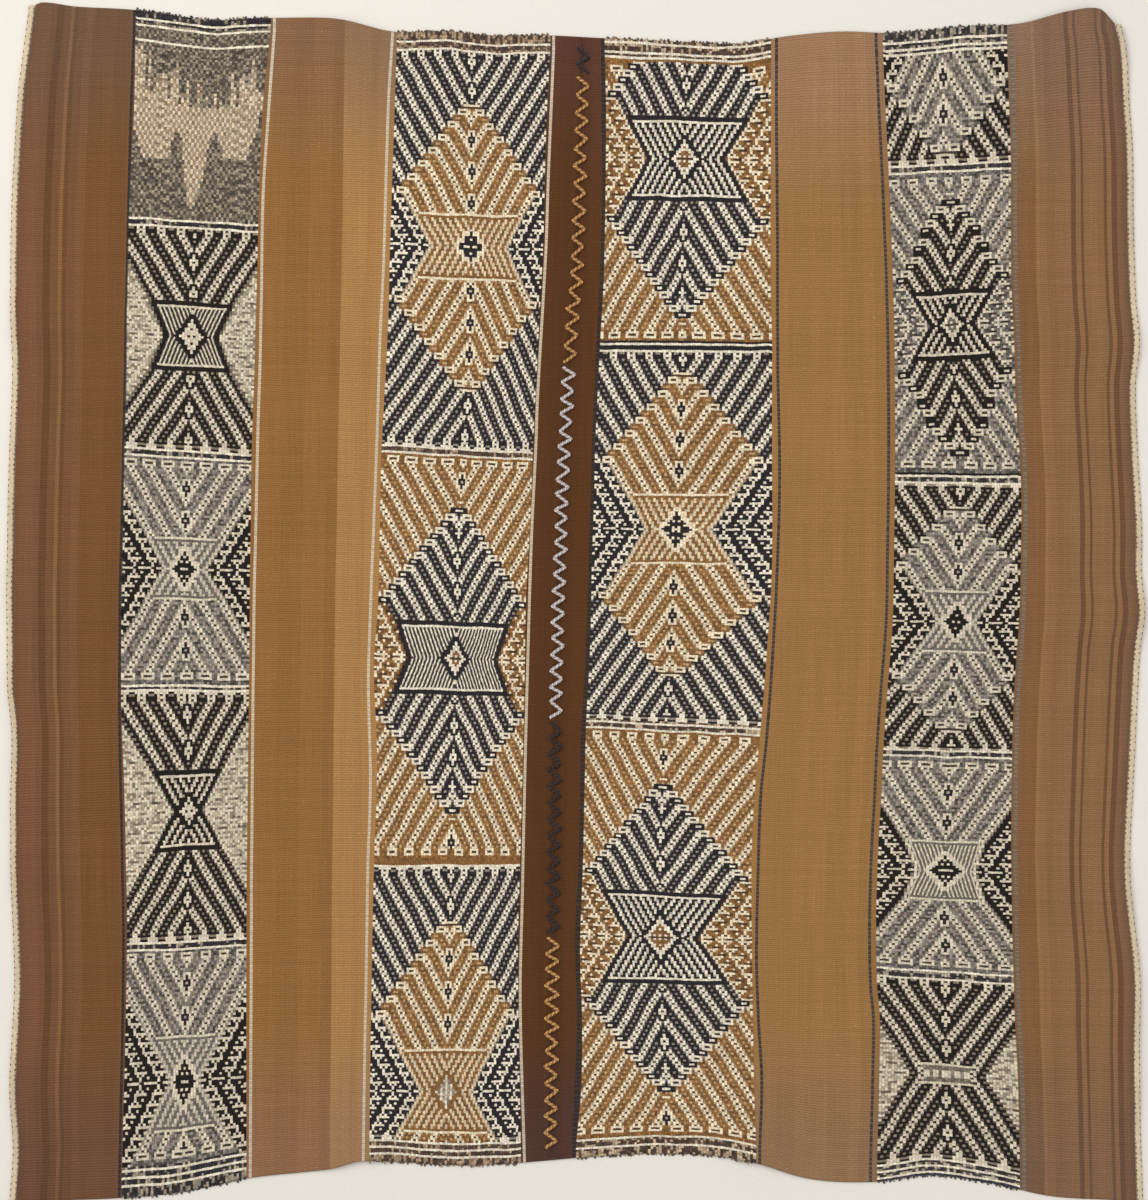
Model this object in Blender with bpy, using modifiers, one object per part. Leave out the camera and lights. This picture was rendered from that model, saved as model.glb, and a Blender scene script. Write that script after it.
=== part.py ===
"""Alpaca altar cloth: two warp-faced loom panels sewn side by side, lying flat.

Metres, +Z up. +X runs across the stripes and +Y along them. Z = 0 is the surface that the
cloth lies on, and the origin is the centre of the cloth's box, on that surface.
"""

from collections import namedtuple

import bmesh
import bpy
from mathutils import Vector

# Driving dimensions
CLOTH_THICKNESS = 0.0018
BINDING_WIDTH = 0.0066
BINDING_HEIGHT = 0.0030
PIECE_GAP = 0.0003
YARN_RADIUS = 0.0012
ZIGZAG_WIDTH = 0.0132
ZIGZAG_PITCH = 0.0160
YARN_END_GAP = 0.0040
SEAM_HOLD_WIDTH = 0.060

# Section of a binding, as shares of its half width and of its height
FOOT_SHARE = 0.72
SHOULDER_SHARE = 0.62
SIDE_LOW_SHARE = 0.35
SIDE_HIGH_SHARE = 0.65

# Mesh density of a panel
COLUMNS = 17
ROWS = 46

# A panel's length is only guessed at first, then found from its ends
ROUGH_HALF_LENGTH = 0.57
LENGTH_STEPS = 2

Point = namedtuple("Point", "across along")
Fold = namedtuple("Fold", "start end half_width height")
Yarn = namedtuple("Yarn", "name top bottom colour")

# Outer edge of the left binding, from the top end down
LEFT_SIDE = [
    Point(-0.5470, 0.5960),
    Point(-0.5525, 0.5535),
    Point(-0.5575, 0.5135),
    Point(-0.5615, 0.4535),
    Point(-0.5645, 0.3935),
    Point(-0.5655, 0.3035),
    Point(-0.5635, 0.2335),
    Point(-0.5665, 0.1535),
    Point(-0.5685, 0.0735),
    Point(-0.5685, -0.0800),
    Point(-0.5640, -0.1300),
    Point(-0.5655, -0.2065),
    Point(-0.5645, -0.2865),
    Point(-0.5615, -0.3700),
    Point(-0.5625, -0.4065),
    Point(-0.5665, -0.4865),
    Point(-0.5630, -0.5465),
    Point(-0.5665, -0.6000),
]

# Outer edge of the right binding, from the top end down
RIGHT_SIDE = [
    Point(0.5455, 0.5755),
    Point(0.5505, 0.5535),
    Point(0.5540, 0.5035),
    Point(0.5575, 0.4535),
    Point(0.5585, 0.3735),
    Point(0.5610, 0.3035),
    Point(0.5640, 0.2585),
    Point(0.5605, 0.2185),
    Point(0.5625, 0.1535),
    Point(0.5668, 0.0735),
    Point(0.5665, 0.0285),
    Point(0.5692, -0.0085),
    Point(0.5650, -0.0465),
    Point(0.5590, -0.1665),
    Point(0.5550, -0.2465),
    Point(0.5555, -0.2865),
    Point(0.5645, -0.3700),
    Point(0.5640, -0.4465),
    Point(0.5655, -0.5265),
    Point(0.5680, -0.6000),
]

# Line where the two panels meet, from the top end down
SEAM = [
    Point(0.0080, 0.6000),
    Point(0.0075, 0.5435),
    Point(0.0015, 0.3435),
    Point(-0.0055, 0.2535),
    Point(-0.0135, 0.1035),
    Point(-0.0195, -0.0965),
    Point(-0.0225, -0.2965),
    Point(-0.0255, -0.6000),
]

# Top end of the cloth, from left to right
TOP_END = [
    Point(-0.5470, 0.5935),
    Point(-0.5350, 0.6010),
    Point(-0.5000, 0.5970),
    Point(-0.4400, 0.5935),
    Point(-0.3650, 0.5835),
    Point(-0.3075, 0.5855),
    Point(-0.2400, 0.5845),
    Point(-0.1835, 0.5720),
    Point(-0.1255, 0.5720),
    Point(-0.0855, 0.5675),
    Point(-0.0255, 0.5680),
    Point(0.0245, 0.5655),
    Point(0.0845, 0.5625),
    Point(0.1645, 0.5595),
    Point(0.2095, 0.5670),
    Point(0.2645, 0.5720),
    Point(0.3245, 0.5705),
    Point(0.3845, 0.5765),
    Point(0.4445, 0.5800),
    Point(0.4945, 0.5920),
    Point(0.5245, 0.5935),
    Point(0.5380, 0.5790),
    Point(0.5480, 0.5740),
]

# Bottom end of the cloth, from left to right
BOTTOM_END = [
    Point(-0.5665, -0.5995),
    Point(-0.5155, -0.5970),
    Point(-0.4555, -0.5945),
    Point(-0.3955, -0.5885),
    Point(-0.3255, -0.5745),
    Point(-0.2455, -0.5655),
    Point(-0.2125, -0.5570),
    Point(-0.1255, -0.5615),
    Point(-0.0655, -0.5600),
    Point(0.0545, -0.5505),
    Point(0.1345, -0.5515),
    Point(0.1815, -0.5595),
    Point(0.2345, -0.5755),
    Point(0.2965, -0.5785),
    Point(0.3545, -0.5715),
    Point(0.4145, -0.5795),
    Point(0.4745, -0.5925),
    Point(0.5345, -0.5965),
    Point(0.5680, -0.5985),
]

# Low folds that stand off the surface: three lines across from folding away, then puckers
FOLDS = [
    Fold(Point(-0.580, 0.280), Point(-0.010, 0.275), 0.045, 0.0020),
    Fold(Point(0.000, 0.271), Point(0.590, 0.260), 0.045, 0.0026),
    Fold(Point(-0.590, 0.012), Point(-0.010, 0.018), 0.050, 0.0022),
    Fold(Point(-0.010, 0.012), Point(0.600, -0.010), 0.050, 0.0032),
    Fold(Point(-0.590, -0.268), Point(-0.020, -0.272), 0.045, 0.0017),
    Fold(Point(-0.010, -0.268), Point(0.580, -0.285), 0.045, 0.0023),
    Fold(Point(0.150, -0.446), Point(0.290, -0.486), 0.042, 0.0018),
    Fold(Point(-0.226, 0.650), Point(-0.222, 0.430), 0.050, 0.0030),
    Fold(Point(-0.212, -0.650), Point(-0.222, -0.440), 0.050, 0.0036),
    Fold(Point(0.186, -0.650), Point(0.180, -0.500), 0.055, 0.0036),
    Fold(Point(0.560, -0.330), Point(0.560, -0.470), 0.060, 0.0024),
    Fold(Point(0.480, 0.620), Point(0.600, 0.540), 0.070, 0.0042),
    Fold(Point(-0.580, -0.090), Point(-0.580, -0.190), 0.050, 0.0022),
]

# The five lengths of yarn in the zigzag seam, from the top end down
SEAM_YARNS = [
    Yarn("seam_yarn_dark_top", 0.5575, 0.5285, (0.020, 0.014, 0.018, 1.0)),
    Yarn("seam_yarn_gold_top", 0.5285, 0.2385, (0.560, 0.318, 0.118, 1.0)),
    Yarn("seam_yarn_white", 0.2385, -0.1165, (0.680, 0.610, 0.600, 1.0)),
    Yarn("seam_yarn_dark_low", -0.1165, -0.3315, (0.022, 0.014, 0.012, 1.0)),
    Yarn("seam_yarn_gold_low", -0.3315, -0.5465, (0.580, 0.335, 0.125, 1.0)),
]

PANEL_COLOUR = (0.275, 0.130, 0.046, 1.0)
BINDING_COLOUR = (0.640, 0.540, 0.400, 1.0)
WOOL_ROUGHNESS = 0.9


def clear_scene():
    """Removes every object, so that the model starts from nothing."""
    for thing in list(bpy.data.objects):
        bpy.data.objects.remove(thing, do_unlink=True)


def new_collection(name):
    collection = bpy.data.collections.new(name)
    bpy.context.scene.collection.children.link(collection)
    return collection


def wool(name, colour):
    """A matt woollen material of one colour."""
    material = bpy.data.materials.new(name)
    material.use_nodes = True
    shader = material.node_tree.nodes["Principled BSDF"]
    shader.inputs["Base Color"].default_value = colour
    shader.inputs["Roughness"].default_value = WOOL_ROUGHNESS
    shader.inputs["Metallic"].default_value = 0.0
    return material


def smooth_step(value):
    value = min(1.0, max(0.0, value))
    return value * value * (3.0 - 2.0 * value)


def smooth_read(pairs, at):
    """Reads, at one station, a smooth curve through (station, value) pairs."""
    pairs = sorted(pairs)
    last = len(pairs) - 1
    if at <= pairs[0][0]:
        return pairs[0][1]
    if at >= pairs[last][0]:
        return pairs[last][1]
    low = max(index for index in range(last) if pairs[index][0] <= at)

    def slope(index):
        before = pairs[max(index - 1, 0)]
        after = pairs[min(index + 1, last)]
        return (after[1] - before[1]) / (after[0] - before[0])

    span = pairs[low + 1][0] - pairs[low][0]
    share = (at - pairs[low][0]) / span
    rise = pairs[low + 1][1] - pairs[low][1]
    start_pull = slope(low) * span - rise
    end_pull = rise - slope(low + 1) * span
    bend = share * (1.0 - share) * ((1.0 - share) * start_pull + share * end_pull)
    return pairs[low][1] + share * rise + bend


def side_at(side, along):
    """How far across a side edge or the seam lies, at one place along the cloth."""
    return smooth_read([(point.along, point.across) for point in side], along)


def end_at(end, across):
    """How far along an end of the cloth lies, at one place across it."""
    return smooth_read([(point.across, point.along) for point in end], across)


def fold_height(fold, across, along):
    """The height that one fold gives a point: a rounded ridge that dies away at its ends."""
    run = Vector(fold.end) - Vector(fold.start)
    offset = Vector((across, along)) - Vector(fold.start)
    share = min(1.0, max(0.0, offset.dot(run) / run.length_squared))
    distance = (offset - run * share).length
    if distance >= fold.half_width:
        return 0.0
    nearness = 1.0 - (distance / fold.half_width) ** 2
    return fold.height * nearness * nearness


def lift_at(across, along):
    """How far the cloth's underside stands off the surface. The seam holds it down."""
    total = sum(fold_height(fold, across, along) for fold in FOLDS)
    from_seam = abs(across - side_at(SEAM, along))
    return total * smooth_step((from_seam - ZIGZAG_WIDTH) / SEAM_HOLD_WIDTH)


def panel_edges(is_left, along):
    """The two sides of a panel, across the cloth, at one place along it."""
    seam = side_at(SEAM, along)
    inset = BINDING_WIDTH + PIECE_GAP
    if is_left:
        return side_at(LEFT_SIDE, along) + inset, seam - PIECE_GAP / 2.0
    return seam + PIECE_GAP / 2.0, side_at(RIGHT_SIDE, along) - inset


def panel_point(is_left, share_across, share_along):
    """A point on a panel's underside, from its shares of the way across and along."""
    along = ROUGH_HALF_LENGTH * (2.0 * share_along - 1.0)
    for _ in range(LENGTH_STEPS):
        start, end = panel_edges(is_left, along)
        across = start + (end - start) * share_across
        bottom = end_at(BOTTOM_END, across)
        top = end_at(TOP_END, across)
        along = bottom + (top - bottom) * share_along
    start, end = panel_edges(is_left, along)
    across = start + (end - start) * share_across
    return Vector((across, along, lift_at(across, along)))


def make_panel(name, is_left, collection):
    """One loom panel: an open grid on the folds, thickened upwards into a sheet."""
    mesh = bpy.data.meshes.new(name)
    grid = bmesh.new()
    bmesh.ops.create_grid(grid, x_segments=COLUMNS, y_segments=ROWS, size=0.5)
    for vertex in grid.verts:
        vertex.co = panel_point(is_left, vertex.co.x + 0.5, vertex.co.y + 0.5)
    bmesh.ops.recalc_face_normals(grid, faces=grid.faces)
    if sum(face.normal.z for face in grid.faces) < 0.0:
        bmesh.ops.reverse_faces(grid, faces=grid.faces)
    grid.to_mesh(mesh)
    grid.free()
    mesh.shade_smooth()
    panel = bpy.data.objects.new(name, mesh)
    collection.objects.link(panel)
    sheet = panel.modifiers.new("thickness", "SOLIDIFY")
    sheet.thickness = CLOTH_THICKNESS
    sheet.offset = 1.0
    panel.data.materials.append(wool(name + "_wool", PANEL_COLOUR))
    return panel


def make_curve(name, points, collection):
    """A poly curve through the points, level in Z, with its ends closed."""
    curve = bpy.data.curves.new(name, "CURVE")
    curve.dimensions = "3D"
    curve.twist_mode = "Z_UP"
    curve.use_fill_caps = True
    spline = curve.splines.new("POLY")
    spline.points.add(len(points) - 1)
    for target, point in zip(spline.points, points):
        target.co = (point.x, point.y, point.z, 1.0)
    thing = bpy.data.objects.new(name, curve)
    collection.objects.link(thing)
    return thing


def make_binding_profile(collection):
    """The section of an edge band: flat underneath, rounded over the top."""
    half = BINDING_WIDTH / 2.0
    foot = FOOT_SHARE * half
    shoulder = SHOULDER_SHARE * half
    side_low = SIDE_LOW_SHARE * BINDING_HEIGHT
    side_high = SIDE_HIGH_SHARE * BINDING_HEIGHT
    outline = [
        (-half, side_low),
        (-half, side_high),
        (-shoulder, BINDING_HEIGHT),
        (shoulder, BINDING_HEIGHT),
        (half, side_high),
        (half, side_low),
        (foot, 0.0),
        (-foot, 0.0),
    ]
    curve = bpy.data.curves.new("binding_section", "CURVE")
    curve.dimensions = "2D"
    curve.fill_mode = "NONE"
    spline = curve.splines.new("POLY")
    spline.points.add(len(outline) - 1)
    for target, (across, up) in zip(spline.points, outline):
        target.co = (across, up, 0.0, 1.0)
    spline.use_cyclic_u = True
    profile = bpy.data.objects.new("binding_section", curve)
    profile.hide_render = True
    profile.display_type = "WIRE"
    collection.objects.link(profile)
    return profile


def make_binding(name, is_left, profile, collection):
    """A cream edge band, beside the panel's outer selvedge and on the same folds."""
    side = LEFT_SIDE if is_left else RIGHT_SIDE
    inward = BINDING_WIDTH / 2.0 if is_left else -BINDING_WIDTH / 2.0
    points = []
    for row in range(ROWS + 1):
        edge = panel_point(is_left, 0.0 if is_left else 1.0, row / ROWS)
        across = side_at(side, edge.y) + inward
        points.append(Vector((across, edge.y, edge.z)))
    binding = make_curve(name, points, collection)
    binding.data.bevel_mode = "OBJECT"
    binding.data.bevel_object = profile
    binding.data.materials.append(wool(name + "_wool", BINDING_COLOUR))
    return binding


def make_seam_yarn(yarn, collection):
    """One length of the zigzag stitching, lying on the cloth across the seam."""
    swing = ZIGZAG_WIDTH / 2.0
    top = yarn.top - YARN_END_GAP / 2.0
    bottom = yarn.bottom + YARN_END_GAP / 2.0
    turns = max(2, round((top - bottom) / (ZIGZAG_PITCH / 2.0)))
    rest_height = CLOTH_THICKNESS + PIECE_GAP + YARN_RADIUS
    points = []
    for turn in range(turns + 1):
        along = top + (bottom - top) * turn / turns
        across = side_at(SEAM, along) + (swing if turn % 2 else -swing)
        points.append(Vector((across, along, rest_height)))
    thread = make_curve(yarn.name, points, collection)
    thread.data.bevel_depth = YARN_RADIUS
    thread.data.bevel_resolution = 1
    thread.data.materials.append(wool(yarn.name + "_wool", yarn.colour))
    return thread


def main():
    clear_scene()
    cloth = new_collection("Alpaca altar cloth")
    guides = new_collection("Guides")
    make_panel("left_panel", True, cloth)
    make_panel("right_panel", False, cloth)
    profile = make_binding_profile(guides)
    make_binding("left_binding", True, profile, cloth)
    make_binding("right_binding", False, profile, cloth)
    for yarn in SEAM_YARNS:
        make_seam_yarn(yarn, cloth)


main()
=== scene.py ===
"""Alpaca altar cloth: its looks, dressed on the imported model.

Metres, +Z up, in the model's frame: +X across the stripes and +Y along them. Tables of places
measured on the photograph are in its pixels, 1148 by 1200, and one pixel is one millimetre on
the cloth. The pattern is charted in the weaver's own units: warp columns and weft picks.
"""

import math
from collections import namedtuple

import bpy
import numpy as np
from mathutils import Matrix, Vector


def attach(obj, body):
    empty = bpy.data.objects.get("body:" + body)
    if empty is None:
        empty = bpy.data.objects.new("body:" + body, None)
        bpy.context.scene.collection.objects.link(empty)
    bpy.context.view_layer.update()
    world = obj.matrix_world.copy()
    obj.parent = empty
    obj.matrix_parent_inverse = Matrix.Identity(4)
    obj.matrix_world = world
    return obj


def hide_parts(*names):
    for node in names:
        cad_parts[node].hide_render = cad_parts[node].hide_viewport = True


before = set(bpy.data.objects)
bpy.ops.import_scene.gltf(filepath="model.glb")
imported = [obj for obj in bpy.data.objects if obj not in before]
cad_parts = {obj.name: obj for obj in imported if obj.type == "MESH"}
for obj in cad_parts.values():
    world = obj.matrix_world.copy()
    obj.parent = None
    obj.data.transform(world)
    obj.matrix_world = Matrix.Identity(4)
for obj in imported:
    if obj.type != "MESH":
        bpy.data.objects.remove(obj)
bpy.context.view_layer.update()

# The photograph's scale and where its pixels lie in the model's frame
PIXEL = 0.001
MIDDLE_PIXEL_X = 575.5
MIDDLE_PIXEL_Y = 603.5
PHOTO_WIDTH = 1148
PHOTO_HEIGHT = 1200

# The cloth's own sizes, the same as the solids'
CLOTH_THICKNESS = 0.0018
BINDING_WIDTH = 0.0066
BINDING_HEIGHT = 0.0030
PIECE_GAP = 0.0003
YARN_RADIUS = 0.0012
ZIGZAG_WIDTH = 0.0132
YARN_END_GAP = 0.0040
SEAM_HOLD_WIDTH = 0.060

# Camera
LENS = 75.0
SENSOR = 36.0

SEED = 11

Fold = namedtuple("Fold", "start end half_width height")
Yarn = namedtuple("Yarn", "name top bottom pitch colour other")

# Outer edges of the bindings and the seam, from the top end down: (across, along) in metres
LEFT_SIDE = (
    (-.5470, .5960), (-.5525, .5535), (-.5575, .5135), (-.5615, .4535), (-.5645, .3935),
    (-.5655, .3035), (-.5635, .2335), (-.5665, .1535), (-.5685, .0735), (-.5685, -.0800),
    (-.5640, -.1300), (-.5655, -.2065), (-.5645, -.2865), (-.5615, -.3700), (-.5625, -.4065),
    (-.5665, -.4865), (-.5630, -.5465), (-.5665, -.6000),
)
RIGHT_SIDE = (
    (.5455, .5755), (.5505, .5535), (.5540, .5035), (.5575, .4535), (.5585, .3735),
    (.5610, .3035), (.5640, .2585), (.5605, .2185), (.5625, .1535), (.5668, .0735),
    (.5665, .0285), (.5692, -.0085), (.5650, -.0465), (.5590, -.1665), (.5550, -.2465),
    (.5555, -.2865), (.5645, -.3700), (.5640, -.4465), (.5655, -.5265), (.5680, -.6000),
)
SEAM = (
    (.0080, .6000), (.0075, .5435), (.0015, .3435), (-.0055, .2535), (-.0135, .1035),
    (-.0195, -.0965), (-.0225, -.2965), (-.0255, -.6000),
)

# The cloth's two ends, from left to right: (across, along) in metres
TOP_END = (
    (-.5470, .5935), (-.5350, .6010), (-.5000, .5970), (-.4400, .5935), (-.3650, .5835),
    (-.3075, .5855), (-.2400, .5845), (-.1835, .5720), (-.1255, .5720), (-.0855, .5675),
    (-.0255, .5680), (.0245, .5655), (.0845, .5625), (.1645, .5595), (.2095, .5670),
    (.2645, .5720), (.3245, .5705), (.3845, .5765), (.4445, .5800), (.4945, .5920),
    (.5245, .5935), (.5380, .5790), (.5480, .5740),
)
BOTTOM_END = (
    (-.5665, -.5995), (-.5155, -.5970), (-.4555, -.5945), (-.3955, -.5885), (-.3255, -.5745),
    (-.2455, -.5655), (-.2125, -.5570), (-.1255, -.5615), (-.0655, -.5600), (.0545, -.5505),
    (.1345, -.5515), (.1815, -.5595), (.2345, -.5755), (.2965, -.5785), (.3545, -.5715),
    (.4145, -.5795), (.4745, -.5925), (.5345, -.5965), (.5680, -.5985),
)

# The solids' folds: three lines across from folding away, then puckers
FOLDS = (
    Fold((-.580, .280), (-.010, .275), .045, .0020),
    Fold((.000, .271), (.590, .260), .045, .0026),
    Fold((-.590, .012), (-.010, .018), .050, .0022),
    Fold((-.010, .012), (.600, -.010), .050, .0032),
    Fold((-.590, -.268), (-.020, -.272), .045, .0017),
    Fold((-.010, -.268), (.580, -.285), .045, .0023),
    Fold((.150, -.446), (.290, -.486), .042, .0018),
    Fold((-.226, .650), (-.222, .430), .050, .0030),
    Fold((-.212, -.650), (-.222, -.440), .050, .0036),
    Fold((.186, -.650), (.180, -.500), .055, .0036),
    Fold((.560, -.330), (.560, -.470), .060, .0024),
    Fold((.480, .620), (.600, .540), .070, .0042),
    Fold((-.580, -.090), (-.580, -.190), .050, .0022),
)

# Sharper creases and rubbed lines seen in the cloth, small against the folds
CREASES = (
    Fold((.182, -.4525), (.215, -.4525), .005, -.0013),
    Fold((.207, -.4685), (.256, -.4835), .005, -.0011),
    Fold((.185, -.2715), (.297, -.2725), .007, -.0009),
    Fold((.200, .022), (.285, .018), .010, -.0006),
    Fold((-.290, .018), (-.200, .020), .010, -.0006),
    Fold((-.235, .600), (-.228, .420), .008, -.0008),
    Fold((-.222, -.430), (-.214, -.600), .007, -.0010),
    Fold((.186, -.530), (.190, -.600), .008, -.0009),
)

# The five lengths of yarn in the zigzag seam, from the top end down, with their two plies' colours. The
# gold and white yarns' second ply is a dimmer copy of the first: painted shade between the plies,
# partly a darker strand
SEAM_YARNS = (
    Yarn("seam_yarn_dark_top", .5575, .5285, .015, (46, 38, 44), (62, 50, 54)),
    Yarn("seam_yarn_gold_top", .5285, .2385, .018, (208, 158, 96), (160, 112, 62)),
    Yarn("seam_yarn_white", .2385, -.1165, .016, (216, 208, 206), (178, 168, 168)),
    Yarn("seam_yarn_dark_low", -.1165, -.3315, .016, (44, 35, 34), (62, 48, 44)),
    Yarn("seam_yarn_gold_low", -.3315, -.5465, .016, (210, 162, 100), (164, 116, 66)),
)

# Lengthwise guides measured on the photograph: (y, x) in pixels, from the top end down
BAND_A_LEFT = ((25, 135.5), (110, 134), (200, 129), (290, 127), (380, 126), (450, 124),
               (690, 121), (800, 124.5), (940, 127), (1190, 121.5))
BAND_A_RIGHT = ((25, 271), (110, 262.7), (200, 259), (290, 256.8), (380, 254.3), (450, 251.8),
                (690, 249), (940, 246.5), (1190, 246.5))
BAND_A_AXIS = ((100, 199), (336, 192), (569, 184.8), (811, 189), (1084, 184), (1170, 184))
BAND_B_LEFT = ((45, 396.7), (120, 394.3), (250, 390), (330, 388), (450, 381.5), (520, 380),
               (600, 378.5), (665, 374), (760, 377), (870, 374), (955, 372), (1150, 369.5))
BAND_B_RIGHT = ((45, 550.6), (120, 546.6), (250, 543), (330, 539), (450, 533), (520, 530.5),
                (600, 526), (665, 525), (760, 523), (870, 520), (955, 518), (1150, 521))
BAND_B_AXIS = ((107, 471.5), (247, 471), (391, 468.5), (516, 459.5), (657, 456), (804, 452.5),
               (926, 450), (1091, 446), (1150, 446))
BAND_C_LEFT = ((45, 604.6), (120, 606), (270, 604), (345, 600), (450, 595), (500, 594),
               (560, 592), (650, 590), (725, 586), (790, 584.5), (860, 583), (950, 580),
               (1020, 582), (1090, 581), (1145, 576))
BAND_C_RIGHT = ((45, 771), (150, 771), (270, 770.5), (345, 772), (450, 772), (560, 772),
                (650, 767), (725, 761), (790, 755), (860, 751.5), (950, 752), (1020, 753),
                (1090, 754), (1145, 756))
BAND_C_AXIS = ((60, 687), (160, 684.6), (313, 682), (374, 682.5), (530, 676), (670, 669),
               (788, 662), (938, 660), (1083, 666), (1140, 666))
BAND_D_LEFT = ((40, 882.5), (100, 885), (160, 888), (230, 891), (285, 893), (400, 895),
               (480, 895), (550, 894), (630, 892), (695, 887), (755, 883), (800, 881),
               (860, 877.5), (920, 876), (985, 877), (1020, 880), (1080, 879), (1165, 877))
BAND_D_RIGHT = ((40, 1007), (100, 1009), (160, 1011), (230, 1011), (285, 1011.5), (345, 1014),
                (400, 1016), (480, 1021), (550, 1021), (630, 1018), (695, 1014), (755, 1012),
                (860, 1011), (920, 1012), (985, 1014), (1020, 1015), (1080, 1018), (1165, 1020))
BAND_D_AXIS = ((142, 943), (201, 950), (326, 951), (444, 959), (505, 960), (621, 956),
               (728, 951.5), (872, 945), (942, 945), (1075, 946), (1160, 948))
DARK_LINE_1 = ((20, 131), (150, 126.5), (400, 121), (690, 116), (940, 120), (1180, 116))
WHITE_LINE_1 = ((30, 273), (120, 266.5), (200, 261.5), (330, 259.5), (450, 256), (700, 251.5),
                (1170, 248.8))
FIELD_CREASE = ((30, 345), (250, 342), (450, 338), (700, 334), (1160, 330))
WHITE_LINE_2 = ((35, 391.2), (100, 387.2), (255, 382.5), (345, 378.5), (440, 375.5),
                (600, 369.5), (680, 367), (780, 369), (870, 366.5), (1160, 362))
WHITE_LINE_3 = ((50, 552.2), (180, 546.8), (250, 544.5), (400, 536), (445, 534.5),
                (540, 530), (680, 525.8), (760, 523.8), (900, 520.8), (1000, 518.8), (1160, 523))
DARK_LINE_2 = ((60, 601), (200, 602), (280, 599.5), (430, 592.5), (500, 590.5), (640, 586),
               (740, 581), (790, 580), (860, 578.5), (940, 575), (1020, 577), (1140, 572))
DARK_LINE_3 = ((40, 774), (120, 774), (250, 775), (350, 775), (490, 777), (640, 771),
               (740, 764), (800, 758), (950, 754), (1020, 756), (1080, 759), (1150, 757))

# Length of one pick along the cloth, in pixels, from the top end down
PITCH_LEFT = ((30, 2.05), (90, 2.10), (180, 2.27), (300, 2.30), (400, 2.21), (500, 2.13),
              (580, 2.20), (730, 2.25), (815, 2.33), (915, 2.27), (1010, 2.35), (1160, 2.22))
PITCH_RIGHT = ((40, 2.30), (90, 2.32), (235, 2.26), (330, 2.25), (420, 2.20), (500, 2.17),
               (600, 2.06), (680, 1.97), (780, 2.12), (865, 2.02), (1015, 2.10), (1165, 2.00))

# How far the picks drop to the right, by their share of the length: near the seam and far from it
Lean = namedtuple("Lean", "near far divide")
LEAN_LEFT = Lean(
    ((0, .02), (.37, .055), (.56, .03), (.73, 0), (1, -.02)),
    ((0, .08), (.18, .06), (.37, .06), (.475, .03), (.58, 0), (.69, -.07), (.81, -.05), (.93, -.07),
     (1, -.10)),
    0.13)
LEAN_RIGHT = Lean(
    ((0, .03), (.11, .02), (.27, .01), (.43, .01), (.60, .045), (.75, .05), (.83, .026), (1, .03)),
    ((0, -.06), (.12, -.05), (.28, -.056), (.39, .02), (.49, .02), (.63, .03), (.74, .035),
     (.83, .065), (1, .06)),
    0.17)
END_FADE = 0.12
RULER_TOP = 20
RULER_BOTTOM = 1180
GRID_PASSES = 4

# Wool colours, as they show in the photograph (0 to 255)
NAVY = (42, 37, 39)
BLACK_BROWN = (33, 26, 22)
CREAM = (238, 226, 204)
CREAM_WARM = (240, 223, 192)
CREAM_DIM = (220, 207, 184)
OCHRE = (138, 98, 56)
GREY = (112, 105, 98)
GREY_LIGHT = (180, 167, 144)
FIGURE_GREY = (168, 152, 132)


def px_across(pixel_x):
    """Across place, in metres, of a column of the photograph's pixels."""
    return (pixel_x - MIDDLE_PIXEL_X) * PIXEL


def px_along(pixel_y):
    """Along place, in metres, of a row of the photograph's pixels."""
    return (MIDDLE_PIXEL_Y - pixel_y) * PIXEL


def linear(colour):
    """A screen colour, 0 to 255, as linear light."""
    value = np.asarray(colour, dtype=float) / 255.0
    return np.where(value <= 0.04045, value / 12.92, ((value + 0.055) / 1.055) ** 2.4)


def add_object(name, data):
    """Puts mesh, camera or light data into the scene."""
    item = bpy.data.objects.new(name, data)
    bpy.context.scene.collection.objects.link(item)
    return item


def set_chart(mesh, values):
    """Writes every face corner's dye, with the kind of weave in its fourth channel."""
    attribute = mesh.color_attributes.new("chart", "FLOAT_COLOR", "CORNER")
    attribute.data.foreach_set("color", values.reshape(-1).astype(np.float32))


def smooth_step(value):
    value = np.clip(value, 0.0, 1.0)
    return value * value * (3.0 - 2.0 * value)


def smooth_read(pairs, at):
    """Reads a smooth curve through (station, value) pairs at an array of stations."""
    stations, values = np.array(sorted(pairs), dtype=float).T
    last = len(stations) - 1
    at = np.clip(at, stations[0], stations[last])
    low = np.clip(np.searchsorted(stations, at, side="right") - 1, 0, last - 1)
    before = np.maximum(np.arange(last + 1) - 1, 0)
    after = np.minimum(np.arange(last + 1) + 1, last)
    slopes = (values[after] - values[before]) / (stations[after] - stations[before])
    span = stations[low + 1] - stations[low]
    share = (at - stations[low]) / span
    rise = values[low + 1] - values[low]
    start_pull = slopes[low] * span - rise
    end_pull = rise - slopes[low + 1] * span
    bend = share * (1.0 - share) * ((1.0 - share) * start_pull + share * end_pull)
    return values[low] + share * rise + bend


def side_at(side, along):
    return smooth_read([(place, across) for across, place in side], along)


def guide_at(guide, along):
    """Across place of a measured lengthwise line."""
    return smooth_read([(px_along(y), px_across(x)) for y, x in guide], along)


def fold_height(fold, across, along):
    """The height that one fold gives: a rounded ridge that dies away at its ends."""
    run_x = fold.end[0] - fold.start[0]
    run_y = fold.end[1] - fold.start[1]
    off_x = across - fold.start[0]
    off_y = along - fold.start[1]
    share = np.clip((off_x * run_x + off_y * run_y) / (run_x ** 2 + run_y ** 2), 0.0, 1.0)
    distance = np.hypot(off_x - run_x * share, off_y - run_y * share)
    nearness = 1.0 - np.clip(distance / fold.half_width, 0.0, 1.0) ** 2
    return fold.height * nearness * nearness


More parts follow.
